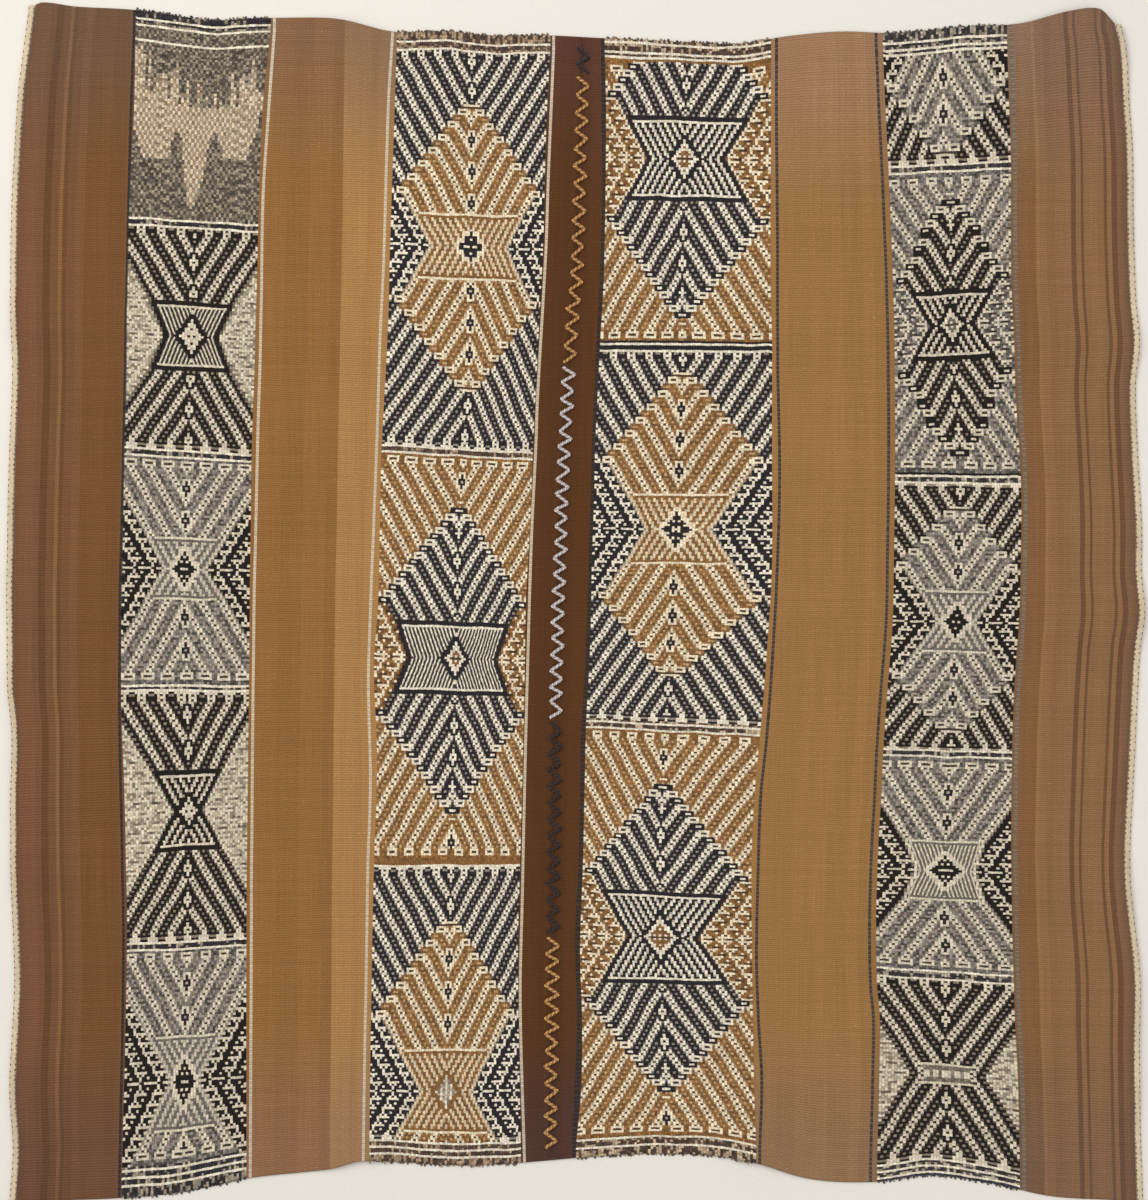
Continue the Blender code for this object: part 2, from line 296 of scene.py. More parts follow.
def lift_at(across, along):
    """How far the cloth's underside stands off the floor. The seam holds it down."""
    total = sum(fold_height(fold, across, along) for fold in FOLDS)
    from_seam = np.abs(across - side_at(SEAM, along))
    return total * smooth_step((from_seam - ZIGZAG_WIDTH) / SEAM_HOLD_WIDTH)


def crease_at(across, along):
    return sum(fold_height(fold, across, along) for fold in CREASES)


# The panels' strips, each between two lengthwise edges, with its number of warp columns

Strip = namedtuple("Strip", "name left right columns")


def between(first, second, share):
    """A guide part of the way from one guide to another."""
    def place(along):
        start = first(along)
        return start + (second(along) - start) * share
    return place


def line(guide, offset=0.0):
    def place(along):
        return guide_at(guide, along) + offset * PIXEL
    return place


def left_edge(along):
    return side_at(LEFT_SIDE, along) + BINDING_WIDTH + PIECE_GAP


def right_edge(along):
    return side_at(RIGHT_SIDE, along) - BINDING_WIDTH - PIECE_GAP


def seam_left(along):
    return side_at(SEAM, along) - PIECE_GAP / 2.0


def seam_right(along):
    return side_at(SEAM, along) + PIECE_GAP / 2.0


# Stripes at the outer edges: name, columns, and the share of the way out at which each ends
LEFT_STRIPES = (
    ("outer_mauve", 4, .24), ("outer_dark", 1, .31), ("outer_mid", 1, .385),
    ("outer_light", 1, .42), ("outer_dark", 1, .46), ("outer_mid", 2, .62),
)
RIGHT_STRIPES = (
    ("right_red", 3, .17), ("right_light", 1, .20), ("right_ochre", 4, .49),
    ("right_dark", 1, .535), ("right_ochre", 1, .58), ("right_dark", 1, .605),
    ("right_ochre", 3, .79), ("right_dark", 1, .82), ("right_ochre", 1, .86),
    ("right_dark", 1, .91),
)

# The other strips: name, columns, and the guide on the right with its offset in pixels
LEFT_GUIDED = (
    ("outer_ochre", 5, DARK_LINE_1, 0), ("outer_ochre", 1, DARK_LINE_1, 2.0),
    ("navy_line", 1, DARK_LINE_1, 4.8), ("mauve_line", 1, BAND_A_LEFT, 0),
    ("band_a", 23.5, BAND_A_AXIS, 0), ("band_a", 23.5, BAND_A_RIGHT, 0),
    ("field_dark", 1, WHITE_LINE_1, 0), ("white_line", 1, WHITE_LINE_1, 2.9),
    ("field_dark", 7, FIELD_CREASE, 0), ("field_light", 5, WHITE_LINE_2, 0),
    ("white_line", 1, WHITE_LINE_2, 2.8), ("field_light", 1, BAND_B_LEFT, 0),
    ("band_b", 31.5, BAND_B_AXIS, 0), ("band_b", 31.5, BAND_B_RIGHT, 0),
    ("centre_brown", 1, WHITE_LINE_3, 0), ("white_line", 1, WHITE_LINE_3, 2.8),
)
RIGHT_GUIDED = (
    ("centre_brown", 2, DARK_LINE_2, 0), ("navy_line", 1, BAND_C_LEFT, 0),
    ("band_c", 32.5, BAND_C_AXIS, 0), ("band_c", 32.5, BAND_C_RIGHT, 0),
    ("field_ochre", 1, DARK_LINE_3, 1), ("grey_line", 1, DARK_LINE_3, 4),
    ("field_ochre", 10, BAND_D_LEFT, -8), ("grey_line", 1, BAND_D_LEFT, -5),
    ("field_ochre", 1, BAND_D_LEFT, 0), ("band_d", 22.5, BAND_D_AXIS, 0),
    ("band_d", 22.5, BAND_D_RIGHT, 0), ("right_red", 1, BAND_D_RIGHT, 2.3),
    ("grey_stripe", 1, BAND_D_RIGHT, 6),
)


def side_by_side(start, rows):
    """Strips from left to right. Every row has a name, its columns and its right edge."""
    strips = []
    for name, columns, right in rows:
        strips.append(Strip(name, start, right, columns))
        start = right
    return strips


def guided(table):
    return [(name, columns, line(guide, offset)) for name, columns, guide, offset in table]


def outer_stripes(table, first, second):
    return [(name, columns, between(first, second, share)) for name, columns, share in table]


def left_strips():
    rows = outer_stripes(LEFT_STRIPES, left_edge, line(DARK_LINE_1)) + guided(LEFT_GUIDED)
    return side_by_side(left_edge, rows + [("centre_brown", 4, seam_left)])


def right_strips():
    start = guided(RIGHT_GUIDED)
    rows = start + outer_stripes(RIGHT_STRIPES, start[-1][2], right_edge)
    return side_by_side(seam_right, rows + [("right_brown", 1, right_edge)])


# Colour of each plain strip at the top, in the middle and at the bottom
PLAIN_COLOURS = {
    "outer_mauve": ((112, 83, 62), (122, 83, 56), (111, 76, 56)),
    "outer_dark": ((100, 74, 56), (105, 70, 41), (100, 68, 48)),
    "outer_mid": ((112, 83, 62), (120, 82, 52), (112, 76, 54)),
    "outer_light": ((124, 94, 70), (134, 94, 58), (122, 86, 60)),
    "outer_ochre": ((112, 82, 60), (118, 79, 44), (113, 77, 53)),
    "grey_line": ((92, 80, 72), (90, 78, 68), (94, 80, 72)),
    "mauve_line": ((112, 78, 64), (112, 74, 52), (112, 78, 64)),
    "white_line": ((202, 190, 172), (202, 186, 160), (198, 184, 164)),
    "field_dark": ((134, 98, 70), (146, 102, 54), (144, 104, 74)),
    "field_light": ((141, 108, 80), (167, 123, 73), (156, 119, 84)),
    "centre_brown": ((90, 55, 41), (88, 52, 22), (80, 52, 43)),
    "navy_line": ((62, 52, 50), (66, 52, 46), (64, 53, 50)),
    "field_ochre": ((157, 119, 88), (155, 113, 65), (146, 111, 80)),
    "grey_stripe": ((132, 118, 104), (132, 116, 98), (130, 116, 102)),
    "right_red": ((139, 108, 84), (130, 92, 57), (119, 89, 66)),
    "right_light": ((146, 116, 88), (150, 110, 70), (136, 104, 76)),
    "right_ochre": ((134, 101, 78), (141, 103, 69), (132, 97, 70)),
    "right_dark": ((112, 84, 66), (112, 78, 52), (108, 80, 62)),
    "right_brown": ((128, 98, 76), (134, 98, 70), (124, 92, 70)),
}


def column_lines(strips):
    """For every vertex line of the grid: the strip that it starts, and its share across it."""
    lines = []
    faces = []
    for index, strip in enumerate(strips):
        count = strip.columns
        start = 0.0
        if lines and strip.name.startswith("band") and strips[index - 1].name == strip.name:
            start = 0.5
        for step in np.arange(start, count, 1.0):
            lines.append((index, step / count))
            faces.append(strip.name)
    lines.append((len(strips) - 1, 1.0))
    return lines, faces


def row_lean(lean, share, offset):
    """How far a pick has dropped at some distance from the ruler line."""
    near = np.clip(offset, -lean.divide, lean.divide)
    return smooth_read(lean.near, share) * near + smooth_read(lean.far, share) * (offset - near)


def lay_grid(strips, pitch_table, lean, ruler_guide):
    """Across and along places of every vertex of a panel's top: rows are picks."""
    lines, faces = column_lines(strips)
    ruler = ruler_guide(np.array([px_along(RULER_TOP), px_along(RULER_BOTTOM)]))
    top = float(smooth_read(TOP_END, ruler[0]))
    bottom = float(smooth_read(BOTTOM_END, ruler[1]))
    pitch_places = [(px_along(y), pitch * PIXEL) for y, pitch in pitch_table]
    station = [top]
    while station[-1] > bottom:
        station.append(station[-1] - float(smooth_read(pitch_places, station[-1])))
    share = (np.array(station) - station[0]) / (station[-1] - station[0])
    rows = len(share)
    share = np.repeat(share[:, None], len(lines), axis=1)
    base = top + (bottom - top) * share
    along = base.copy()
    across = np.zeros_like(along)
    for _ in range(GRID_PASSES):
        for column, (index, part) in enumerate(lines):
            strip = strips[index]
            start = strip.left(along[:, column])
            end = strip.right(along[:, column])
            across[:, column] = start + (end - start) * part
        plain = base - row_lean(lean, share, across - ruler_guide(along))
        top_pull = smooth_read(TOP_END, across[0]) - plain[0]
        bottom_pull = smooth_read(BOTTOM_END, across[-1]) - plain[-1]
        along = plain + top_pull * (1.0 - smooth_step(share / END_FADE))
        along += bottom_pull * smooth_step((share - 1.0 + END_FADE) / END_FADE)
    return across, along, faces, rows


# Weaving chart

Block = namedtuple(
    "Block", "top middle bottom bar field diamond notch figure tip hooks neck stride slope pitch",
    defaults=(None, 0, 0, 4, 0.5, 0))
Palette = namedtuple("Palette", "ground light dot spark mottle dark")
Figure = namedtuple("Figure", "wide tall mark")

INK = Palette(NAVY, CREAM, (66, 58, 54), (150, 140, 128), 0.12, True)
SOOT = Palette(BLACK_BROWN, CREAM_DIM, (60, 50, 42), (140, 126, 108), 0.12, True)
HONEY = Palette(OCHRE, CREAM_WARM, (84, 60, 40), (192, 158, 116), 0.20, False)
ASH = Palette(GREY, CREAM_DIM, (70, 60, 52), (164, 152, 134), 0.42, False)
OAT = Palette(GREY_LIGHT, CREAM_DIM, (126, 114, 98), CREAM_DIM, 0.26, False)

PERIOD = 14
FINE_PERIOD = 6
LATTICE_PICKS = 4
LATTICE_COLUMNS = 7
SHORT_WAIST = 6
WAIST_MOTTLE = 0.12
CELL_MOTTLE = 0.09
# Share of light yarn in a chain link's outer cells: painted shade at the float ends, which also thins
# the links
SHADED_LINK_EDGE_SHARE = 0.38
PICK_PIXELS = 2.2
STRIPE_OFFSET = 3.5
LINES_START = 64.0
BLACK_LINES = 0.94
GREY_LINES = 0.78

# Blocks of the pattern. Top, middle and bottom are pixel rows, bar and tip pixels from the middle.
# A block with no tip is filled by its diamond. Stride is the columns from hook to hook, slope the
# border's columns a pick in the waist, pitch the columns between fine waist lines, 0 if coarse
BLOCKS = {
    "band_a": (
        Block(228, 336, 450, 34, SOOT, SOOT, OAT, Figure(3, 7, "dots"), neck=9.5, slope=.33, pitch=1.5),
        Block(457, 570, 685, 30, ASH, ASH, SOOT, Figure(3, 7, "line"), neck=6.0),
        Block(693, 811, 942, 38, SOOT, SOOT, OAT, Figure(2, 5, "dots"), neck=4.5),
        Block(949, 1082, 1163, 48, ASH, ASH, SOOT, Figure(3, 8, "line"), neck=3.5),
    ),
    "band_b": (
        Block(52, 247.5, 449, 32, INK, HONEY, INK, Figure(4, 6, "cross"), 139, 7),
        Block(457, 659, 862, 35, HONEY, INK, HONEY, Figure(3, 7, "bar"), 146, 7, slope=.33, pitch=1.5),
        Block(868, 1091, 1143, 40, INK, HONEY, INK, Figure(3, 7, "grey"), 165, 7),
    ),
    "band_c": (
        Block(65, 160, 344, 40, HONEY, INK, HONEY, Figure(4, 8, "bar"), 155, 7),
        Block(352, 530, 722, 36, INK, HONEY, INK, Figure(4, 8, "posts"), 149, 7),
        Block(731, 937, 1136, 44, HONEY, INK, HONEY, Figure(5, 10, "bar"), 148, 7),
    ),
    "band_d": (
        Block(51, 12, 164, 33, SOOT, ASH, SOOT, None, 130, 5),
        Block(173, 325, 474, 33, ASH, SOOT, ASH, Figure(3, 7, "bar"), 122, 5, stride=3.5),
        Block(484, 621, 752, 29, SOOT, ASH, SOOT, Figure(3, 7, "dots"), 111, 5),
        Block(760, 871, 972, 28, ASH, ASH, SOOT, Figure(4, 7, "line"), neck=8.5, slope=.25, pitch=1.4),
        Block(979, 1075, 1160, 10, SOOT, SOOT, OAT, None, neck=11),
    ),
}

# Cross lines between a band's blocks and at its ends: pixel row, picks and colour
BAR = "bar"
CROSS_LINES = {
    "band_a": (
        (25.5, 1, CREAM), (28.5, 1, BAR), (32, 1, CREAM), (47.5, 1, CREAM),
        (221, 1, CREAM), (223.5, 2, BAR), (228, 1, CREAM),
        (450.5, 1, CREAM), (453, 2, BAR), (457.5, 1, CREAM),
        (685, 1, CREAM), (687.5, 2, BAR), (692, 1, CREAM),
        (941, 1, CREAM), (943.5, 2, BAR), (948, 1, CREAM),
        (1166, 1, CREAM), (1168.5, 2, BAR), (1173, 1, CREAM), (1175.5, 2, BAR), (1180, 1, CREAM),
    ),
    "band_b": (
        (43.5, 1, CREAM), (46, 2, BAR), (50.5, 1, CREAM),
        (450, 1, CREAM), (452.5, 2, BAR), (457, 1, CREAM), (862, 2, OCHRE), (866.5, 1, CREAM),
        (1144, 1, CREAM), (1146.5, 2, BAR), (1151, 1, CREAM), (1153.5, 2, BAR), (1158, 1, CREAM),
    ),
    "band_c": (
        (47, 1, CREAM), (49.5, 2, BAR), (54, 1, CREAM), (56.5, 1, BAR), (60, 1, CREAM),
        (62.5, 1, OCHRE), (341.5, 1, NAVY), (344, 1, CREAM), (346.5, 2, NAVY), (351, 1, CREAM),
        (724, 1, CREAM), (726.5, 2, BAR), (731, 1, CREAM),
        (1137, 1, CREAM), (1139.5, 2, BAR), (1145, 1, CREAM),
    ),
    "band_d": (
        (40.5, 1, CREAM), (43, 1, BAR), (46, 1, CREAM), (48.5, 1, BAR), (51.5, 1, CREAM),
        (165, 1, CREAM), (167.5, 2, BAR), (171.5, 1, CREAM),
        (473.5, 1, BLACK_BROWN), (475.5, 1, CREAM), (477.5, 2, BAR), (482, 1, CREAM),
        (751, 1, CREAM), (753.5, 2, BAR), (757.5, 1, CREAM),
        (972.5, 1, CREAM), (975, 2, BAR), (979.5, 1, CREAM),
        (1160, 1, CREAM), (1162.5, 1, BAR), (1166, 1, CREAM), (1168.5, 1, BAR), (1172, 1, CREAM),
    ),
}
# Dark and light of the loose warp dashes in each band's end rows
END_DASHES = {
    "band_a": ((50, 45, 47), (152, 139, 121)),
    "band_b": ((84, 67, 57), (162, 138, 112)),
    "band_c": ((82, 65, 55), (182, 160, 132)),
    "band_d": ((60, 54, 54), (164, 152, 134)),
}


class Cloth:
    """A band's cells while its pattern is charted: their colours, and their fine-line places."""

    def __init__(self, name, rows, columns, random):
        self.name = name
        self.colour = np.zeros((rows, columns, 3))
        self.kind = np.ones((rows, columns))
        self.lines = np.zeros((rows + 1, columns + 1))
        self.random = random
        self.row, self.column = np.mgrid[0:rows, 0:columns]

    def fill(self, mask, colour, mottle=0.0):
        tone = 1.0 + self.random.uniform(-CELL_MOTTLE, CELL_MOTTLE, mask.sum())
        if mottle:
            tone *= 1.0 + mottle * self.random.uniform(-1.0, 1.0, mask.sum())
        self.colour[mask] = np.asarray(colour, dtype=float) * tone[:, None]
        self.kind[mask] = 1.0

    def dashes(self, mask, share):
        """Short up-and-down dashes of two yarns, as where the warps turn at an end."""
        dark, light = END_DASHES[self.name]
        rows, columns = mask.shape
        chance = self.random.random((rows // DASH_PICKS + 3, columns))
        start = self.random.integers(0, DASH_PICKS, columns)
        step = (self.row + start[None, :]) // DASH_PICKS
        lit = chance[step, self.column] < share
        self.fill(mask, dark, 0.25)
        self.fill(mask & lit, light, 0.2)


DASH_PICKS = 3


def blend(first, second, share):
    return tuple(a + (b - a) * share for a, b in zip(first, second))


def around_zero(value, period):
    """A place within a repeat, counted both ways from the repeat's start."""
    return (value + period // 2) % period - period // 2


def chains(cloth, mask, phase, palette):
    """Slanting chains of light links with dark eyes, on a ground with light sparks; painted shade at
    float ends.
    """
    place = around_zero(phase, PERIOD)
    cloth.fill(mask, palette.ground, palette.mottle)
    # Painted shade where each float ends: a blend of ground and light, which also thins the link
    edge = blend(palette.ground, palette.light, SHADED_LINK_EDGE_SHARE)
    cloth.fill(mask & (np.abs(place) == 3), edge)
    cloth.fill(mask & (np.abs(place) <= 2), palette.light)
    cloth.fill(mask & (place == 0), palette.dot)
    cloth.fill(mask & (place == -PERIOD // 2), palette.spark)


def teardrops(cloth, mask, axis_phase, reach, palette):
    """Small drops on the axis, above the point of each chevron."""
    centre = 2 if palette.dark else -5
    drop = around_zero(axis_phase - centre, PERIOD)
    shape = ((np.abs(drop) <= 3) & (reach == 0)) | ((np.abs(drop) <= 1) & (reach == 1))
    rim = (np.abs(drop) <= 4) & (reach <= 1) | (np.abs(drop) <= 1) & (reach == 2)
    cloth.fill(mask & rim, palette.ground if palette.dark else palette.light)
    cloth.fill(mask & shape, palette.light if palette.dark else INK.ground)
    cloth.fill(mask & (drop == 0) & (reach == 0), INK.ground if palette.dark else OAT.ground)


def dark_feet(cloth, mask, phase, depth, palette):
    """Dark blocks: each chain widens onto the cross line, with a short dash between chains."""
    place = np.abs(around_zero(phase + 4 - depth, PERIOD))
    cloth.fill(mask & (depth <= 3), palette.ground, palette.mottle)
    cloth.fill(mask & (place <= 5 - depth), palette.light)
    cloth.fill(mask & (depth == 2) & (place == 0), palette.dot)
    cloth.fill(mask & (depth == 2) & (place >= 5), palette.spark)


def light_feet(cloth, mask, phase, depth, palette):
    """Light blocks: a row of ground, then each chain starts in a small box with a dark dash."""
    place = np.abs(around_zero(phase + 6 - depth, PERIOD))
    cloth.fill(mask, palette.ground, palette.mottle)
    box = mask & (depth >= 3) & (place <= 4)
    cloth.fill(box, palette.light)
    cloth.fill(box & (depth == 4) & (place <= 2), palette.dot)


def lattice(cloth, mask, reach, picks, base, palette):
    """Rows of small T shapes that step outwards from the waist, in a side notch."""
    cloth.fill(mask, palette.ground, palette.mottle)
    tier = (picks - 1) // LATTICE_PICKS
    level = (picks - 1) % LATTICE_PICKS + 1
    place = reach - base - 2 * tier
    offset = around_zero(place, LATTICE_COLUMNS)
    after = place % LATTICE_COLUMNS
    if palette.dark:
        waist = (offset == 0) | (after >= 3)
    else:
        level = LATTICE_PICKS + 1 - level
        waist = np.abs(offset) == 1
    stem = (level <= 2) & (offset == 0)
    eye = (level == 3) & (np.abs(offset) == 1)
    bar = (level == 4) & (np.abs(offset) <= 2)
    spark = (level == 2) & (after == 4)
    cloth.fill(mask & (picks > 0) & (stem | eye | bar | spark), palette.light)
    cloth.fill(mask & (picks == 0) & waist, palette.light)
    if not palette.dark:
        cloth.fill(mask & (level == 3) & (offset == 0), palette.dot)
        cloth.fill(mask & (level == 1) & (after >= 3) & (after <= 5), palette.dot, 0.3)


def hook_place(block, first_hook, hook):
    """Where a hook begins: its reach in columns and its pick above the waist."""
    start = 2 + int(round(block.stride * hook))
    return start, first_hook - PERIOD * hook + 2 * (start - 2)


def lowest_tread(block, first_hook, hook):
    """The last pick of the ground below a hook, just above the next hook's box."""
    if hook == block.hooks - 1:
        return hook_place(block, first_hook, hook)[1] - 4
    return hook_place(block, first_hook, hook + 1)[1] + 2


def hooks(cloth, inside, block, first_hook, reach, picks):
    """The stepped edge of a diamond: a light box at each chain's end, then a tread of ground."""
    diamond = block.diamond
    for hook in range(block.hooks):
        start, pick = hook_place(block, first_hook, hook)
        box = inside & (np.abs(picks - pick) <= 1) & (reach >= start) & (reach <= start + 3)
        cloth.fill(box, diamond.light)
        cloth.fill(box & (picks == pick) & (reach > start) & (reach < start + 3), diamond.dot)
        if hook == block.hooks - 1 and not diamond.dark:
            continue
        tread = inside & (picks < pick - 1) & (picks >= lowest_tread(block, first_hook, hook))
        tread &= (reach >= start + 2) & (reach <= start + 5)
        cloth.fill(tread, diamond.ground, diamond.mottle)
        dash = tread & (picks == pick - 3) & (reach >= start + 3) & (reach <= start + 4)
        cloth.fill(dash, diamond.light if diamond.dark else diamond.spark)


def diamond_edge(block, first_hook, reach, picks):
    """Cells inside the stepped part of a diamond, above its widest row."""
    inside = np.zeros(reach.shape, dtype=bool)
    for hook in range(block.hooks):
        start, pick = hook_place(block, first_hook, hook)
        low = lowest_tread(block, first_hook, hook)
        inside |= (picks <= pick + 1) & (picks >= pick - 1) & (reach <= start + 3)
        inside |= (picks < pick - 1) & (picks >= low) & (reach <= start + 5)
    return inside


Border = namedtuple("Border", "first_hook shift neck line brim widest inside")
DARK_BRIM = 0.5
LIGHT_BRIM = 1.5
NO_LIMIT = 10 ** 6


def border_of(block, bar, tip, reach, picks):
    """A diamond's edge: its line through the waist, its stepped part and the cells inside both."""
    dark = block.diamond.dark
    stripe = STRIPE_OFFSET if dark else 0.0
    if tip is None:
        neck = block.neck
        shift = int(round(2.0 * (neck + (block.slope - 0.5) * bar - stripe)))
        first_hook = None
        widest = NO_LIMIT
        stepped = False
    else:
        first_hook = tip - 2
        start, widest = hook_place(block, first_hook, block.hooks - 1)
        shift = 4 - first_hook
        neck = start + stripe - widest / 2.0 + (0.5 - block.slope) * bar
        stepped = diamond_edge(block, first_hook, reach, picks)
        widest -= 4 if dark else 1
    line_place = neck + block.slope * np.minimum(picks, bar) + 0.5 * np.maximum(0, picks - bar)
    brim = DARK_BRIM if dark else LIGHT_BRIM
    inside = np.where(picks < widest, reach <= line_place + brim, stepped)
    return Border(first_hook, shift, neck, line_place, brim, widest, inside)


def paint_notch(cloth, block, side, border, reach, picks):
    """The notch beside the waist, and the half tone along the diamond's edge."""
    notch, diamond = block.notch, block.diamond
    start = int(round(border.neck + (6.0 if notch.dark else 3.5)))
    lattice(cloth, side, reach, picks, start, notch)
    half_step = side & (reach <= border.line + border.brim + 0.5) & (reach > border.line)
    edge = diamond.ground if diamond.dark else diamond.light
    cloth.fill(half_step, blend(edge, notch.ground, 0.5))


def paint_axis(cloth, block, inside, above, body, border, bar, reach, picks):
    """The hooks and cap of a stepped diamond, and the drops along the axis."""
    axis_phase = -picks - border.shift
    near = body & (picks > bar + 2)
    first_hook = border.first_hook
    if first_hook is not None:
        hooks(cloth, inside & (picks >= border.widest), block, first_hook, reach, picks)
        paint_tip(cloth, inside, block.diamond, picks - first_hook, reach)
        teardrops(cloth, above & (picks > first_hook + 6), axis_phase + 2, reach, block.field)
        near &= picks < first_hook - 6
    teardrops(cloth, near, axis_phase, reach, block.diamond)


def paint_block(cloth, block, axis, row_of):
    """One block of the pattern, the same above and below its waist and on both sides."""
    middle = row_of(block.middle)
    first_row, last_row = row_of(block.top), row_of(block.bottom)

    def in_picks(pixels):
        return int(round((row_of(block.middle + pixels) - row_of(block.middle - pixels)) / 2.0))

    reach = np.abs(cloth.column - axis)
    picks = np.abs(cloth.row - middle)
    inside = (cloth.row >= first_row) & (cloth.row < last_row)
    depth = np.where(cloth.row < middle, cloth.row - first_row, last_row - 1 - cloth.row) + 1
    bar = in_picks(block.bar)
    tip = None if block.tip is None else in_picks(block.tip)
    border = border_of(block, bar, tip, reach, picks)
    body = inside & border.inside
    side = inside & ~border.inside & (picks < border.widest)
    above = inside & ~border.inside & (picks >= border.widest)
    phase = 2 * reach - picks - border.shift
    chains(cloth, above, phase + 2, block.field)
    paint_notch(cloth, block, side, border, reach, picks)
    chains(cloth, body, phase, block.diamond)
    paint_axis(cloth, block, inside, above, body, border, bar, reach, picks)
    paint_feet(cloth, inside, block, phase, depth, border.inside)
    paint_waist(cloth, block, body & (picks <= bar), bar, reach, picks, border.line)
    if block.pitch:
        place_fine_lines(cloth, block, axis, middle, bar + 2)
    paint_figure(cloth, block, body, reach, picks)


def paint_tip(cloth, inside, diamond, over, reach):
    """The small cap over a diamond's first hook."""
    if diamond.dark:
        cap = inside & (over >= 2) & (over <= 4) & (reach <= 3)
        cloth.fill(cap, diamond.ground)
        cloth.fill(cap & (over == 3) & (reach <= 1), diamond.light)
    else:
        cloth.fill(inside & (over == 3) & (reach <= 3), diamond.light)
        cloth.fill(inside & (over == 2) & (reach <= 4), diamond.dot)


def paint_feet(cloth, inside, block, phase, depth, is_diamond):
    """The rows of a block that meet its two cross lines."""
    full = block.tip is None
    palette = block.diamond if full else block.field
    rows = inside & (is_diamond if full else ~is_diamond)
    end_phase = phase if full else phase + 2
    if palette.dark:
        dark_feet(cloth, rows & (depth <= 3), end_phase, depth, palette)
    else:
        light_feet(cloth, rows & (depth <= 5), end_phase, depth, palette)


def place_fine_lines(cloth, block, axis, middle, limit):
    """Fine waist lines lie closer than the columns, so each corner gets its place among them."""
    row, column = np.indices(cloth.lines.shape)
    near = np.abs(row - middle) <= limit
    offset = np.abs(column - axis - 0.5)
    slant = block.slope * np.abs(row - middle - 0.5)
    cloth.lines[near] = ((offset - slant) / block.pitch + LINES_START)[near]


def paint_waist_lines(cloth, diamond, waist, place):
    """Coarse lines, charted column by column."""
    cloth.fill(waist, diamond.ground, WAIST_MOTTLE)
    if diamond.dark:
        step = (place + 5) % FINE_PERIOD
        lit = waist & (place <= -3) & (step <= 2)
        bright = 1.0
    else:
        step = (place - 1) % FINE_PERIOD
        lit = waist & (step <= 2)
        bright = 0.85
    cloth.fill(lit, blend(diamond.ground, diamond.light, bright))
    cloth.fill(lit & (step == 0), blend(diamond.ground, diamond.light, 0.7))


def paint_waist(cloth, block, waist, bar, reach, picks, border):
    """Lines drawn in towards the waist, side by side with its edge, between the two bars."""
    diamond = block.diamond
    short = bar <= SHORT_WAIST
    if short:
        waist &= reach < border - 4
    place = np.round(2.0 * (reach - border)).astype(int)
    if block.pitch:
        edge = place >= (-2 if diamond.dark else 1)
        cloth.fill(waist & edge, diamond.ground if diamond.dark else diamond.light, 0.08)
        lined = waist & ~edge
        cloth.fill(lined, diamond.light)
        cloth.kind[lined] = 1.5 + 0.5 * (BLACK_LINES if diamond.dark else GREY_LINES)
    else:
        paint_waist_lines(cloth, diamond, waist, place)
    rim = waist & (reach <= border - 1)
    if short:
        cloth.fill(rim, blend(diamond.ground, diamond.light, 0.5), 0.2)
        cloth.fill(rim & (picks >= bar), diamond.light)
        cloth.fill(rim & (picks <= 1) & (reach % 3 != 2), diamond.light)
        return
    cloth.fill(rim & (picks >= bar - 1), diamond.ground, WAIST_MOTTLE)
    cloth.fill(rim & (picks == (bar - 2 if diamond.dark else bar)), diamond.light)


# Small marks in the figures: first and last pick from the waist, first and last column from the
# axis. None stands for two columns less than the figure is wide
MARKS = {
    "cross": ((0, 0, 1, 2), (3, 3, 0, 0)),
    "line": ((0, 0, 0, None), (3, 3, 1, 1), (5, 5, 0, 0)),
    "posts": ((0, 1, 1, 1), (0, 0, 0, 1), (4, 4, 1, 1), (2, 2, 3, 3)),
}
FIGURE_RIM = 2


def figure_shape(figure, reach, picks):
    """The cells of a figure, and of the figure with its rim."""
    if figure.mark == "cross":
        shape = (picks <= 1) & (reach <= figure.wide) | (picks <= 4) & (reach <= 2)
        shape |= (picks <= figure.tall) & (reach == 0)
        return shape, (picks <= 3) & (reach <= 5) | (picks <= 6) & (reach <= 3)
    slope = figure.tall / (figure.wide + 1.0)
    shape = picks <= figure.tall - slope * reach
    return shape, picks <= figure.tall + FIGURE_RIM - slope * np.maximum(0, reach - 1)


def paint_figure(cloth, block, body, reach, picks):
    """The small figure in the middle of the waist."""
    figure = block.figure
    if figure is None:
        return
    dark = not block.diamond.dark
    ink = SOOT.ground if cloth.name in ("band_a", "band_d") else INK.ground
    pale = block.diamond.light
    shape, rim = figure_shape(figure, reach, picks)
    if figure.mark == "grey":
        cloth.fill(body & rim, block.diamond.ground)
        cloth.fill(body & shape, FIGURE_GREY, 0.25)
        cloth.fill(body & shape & (reach % 2 == 0), CREAM_DIM, 0.15)
        return
    cloth.fill(body & rim, pale if dark else ink)
    cloth.fill(body & shape, ink if dark else pale, 0.08)
    for first, last, near, far in MARKS.get(figure.mark, ()):
        far = figure.wide - 2 if far is None else far
        cloth.fill(body & (picks >= first) & (picks <= last) & (reach >= near) & (reach <= far), pale)
    if figure.mark == "bar":
        slope = figure.tall / (figure.wide + 1.0)
        inner = body & (picks <= figure.tall - 2 - slope * (reach + 0.5))
        cloth.fill(inner, block.field.ground, 0.1)
        cloth.fill(inner & (picks % 3 == 1) & (reach % 2 == 0), pale)
        cloth.fill(inner & (picks == 0), block.field.dot)
    elif figure.mark == "dots":
        dot = pale if dark else ink
        cloth.fill(body & (picks == 0) & (reach % 2 == 1) & (reach < figure.wide), dot)
        cloth.fill(body & (picks == 3) & (reach == 0), dot)


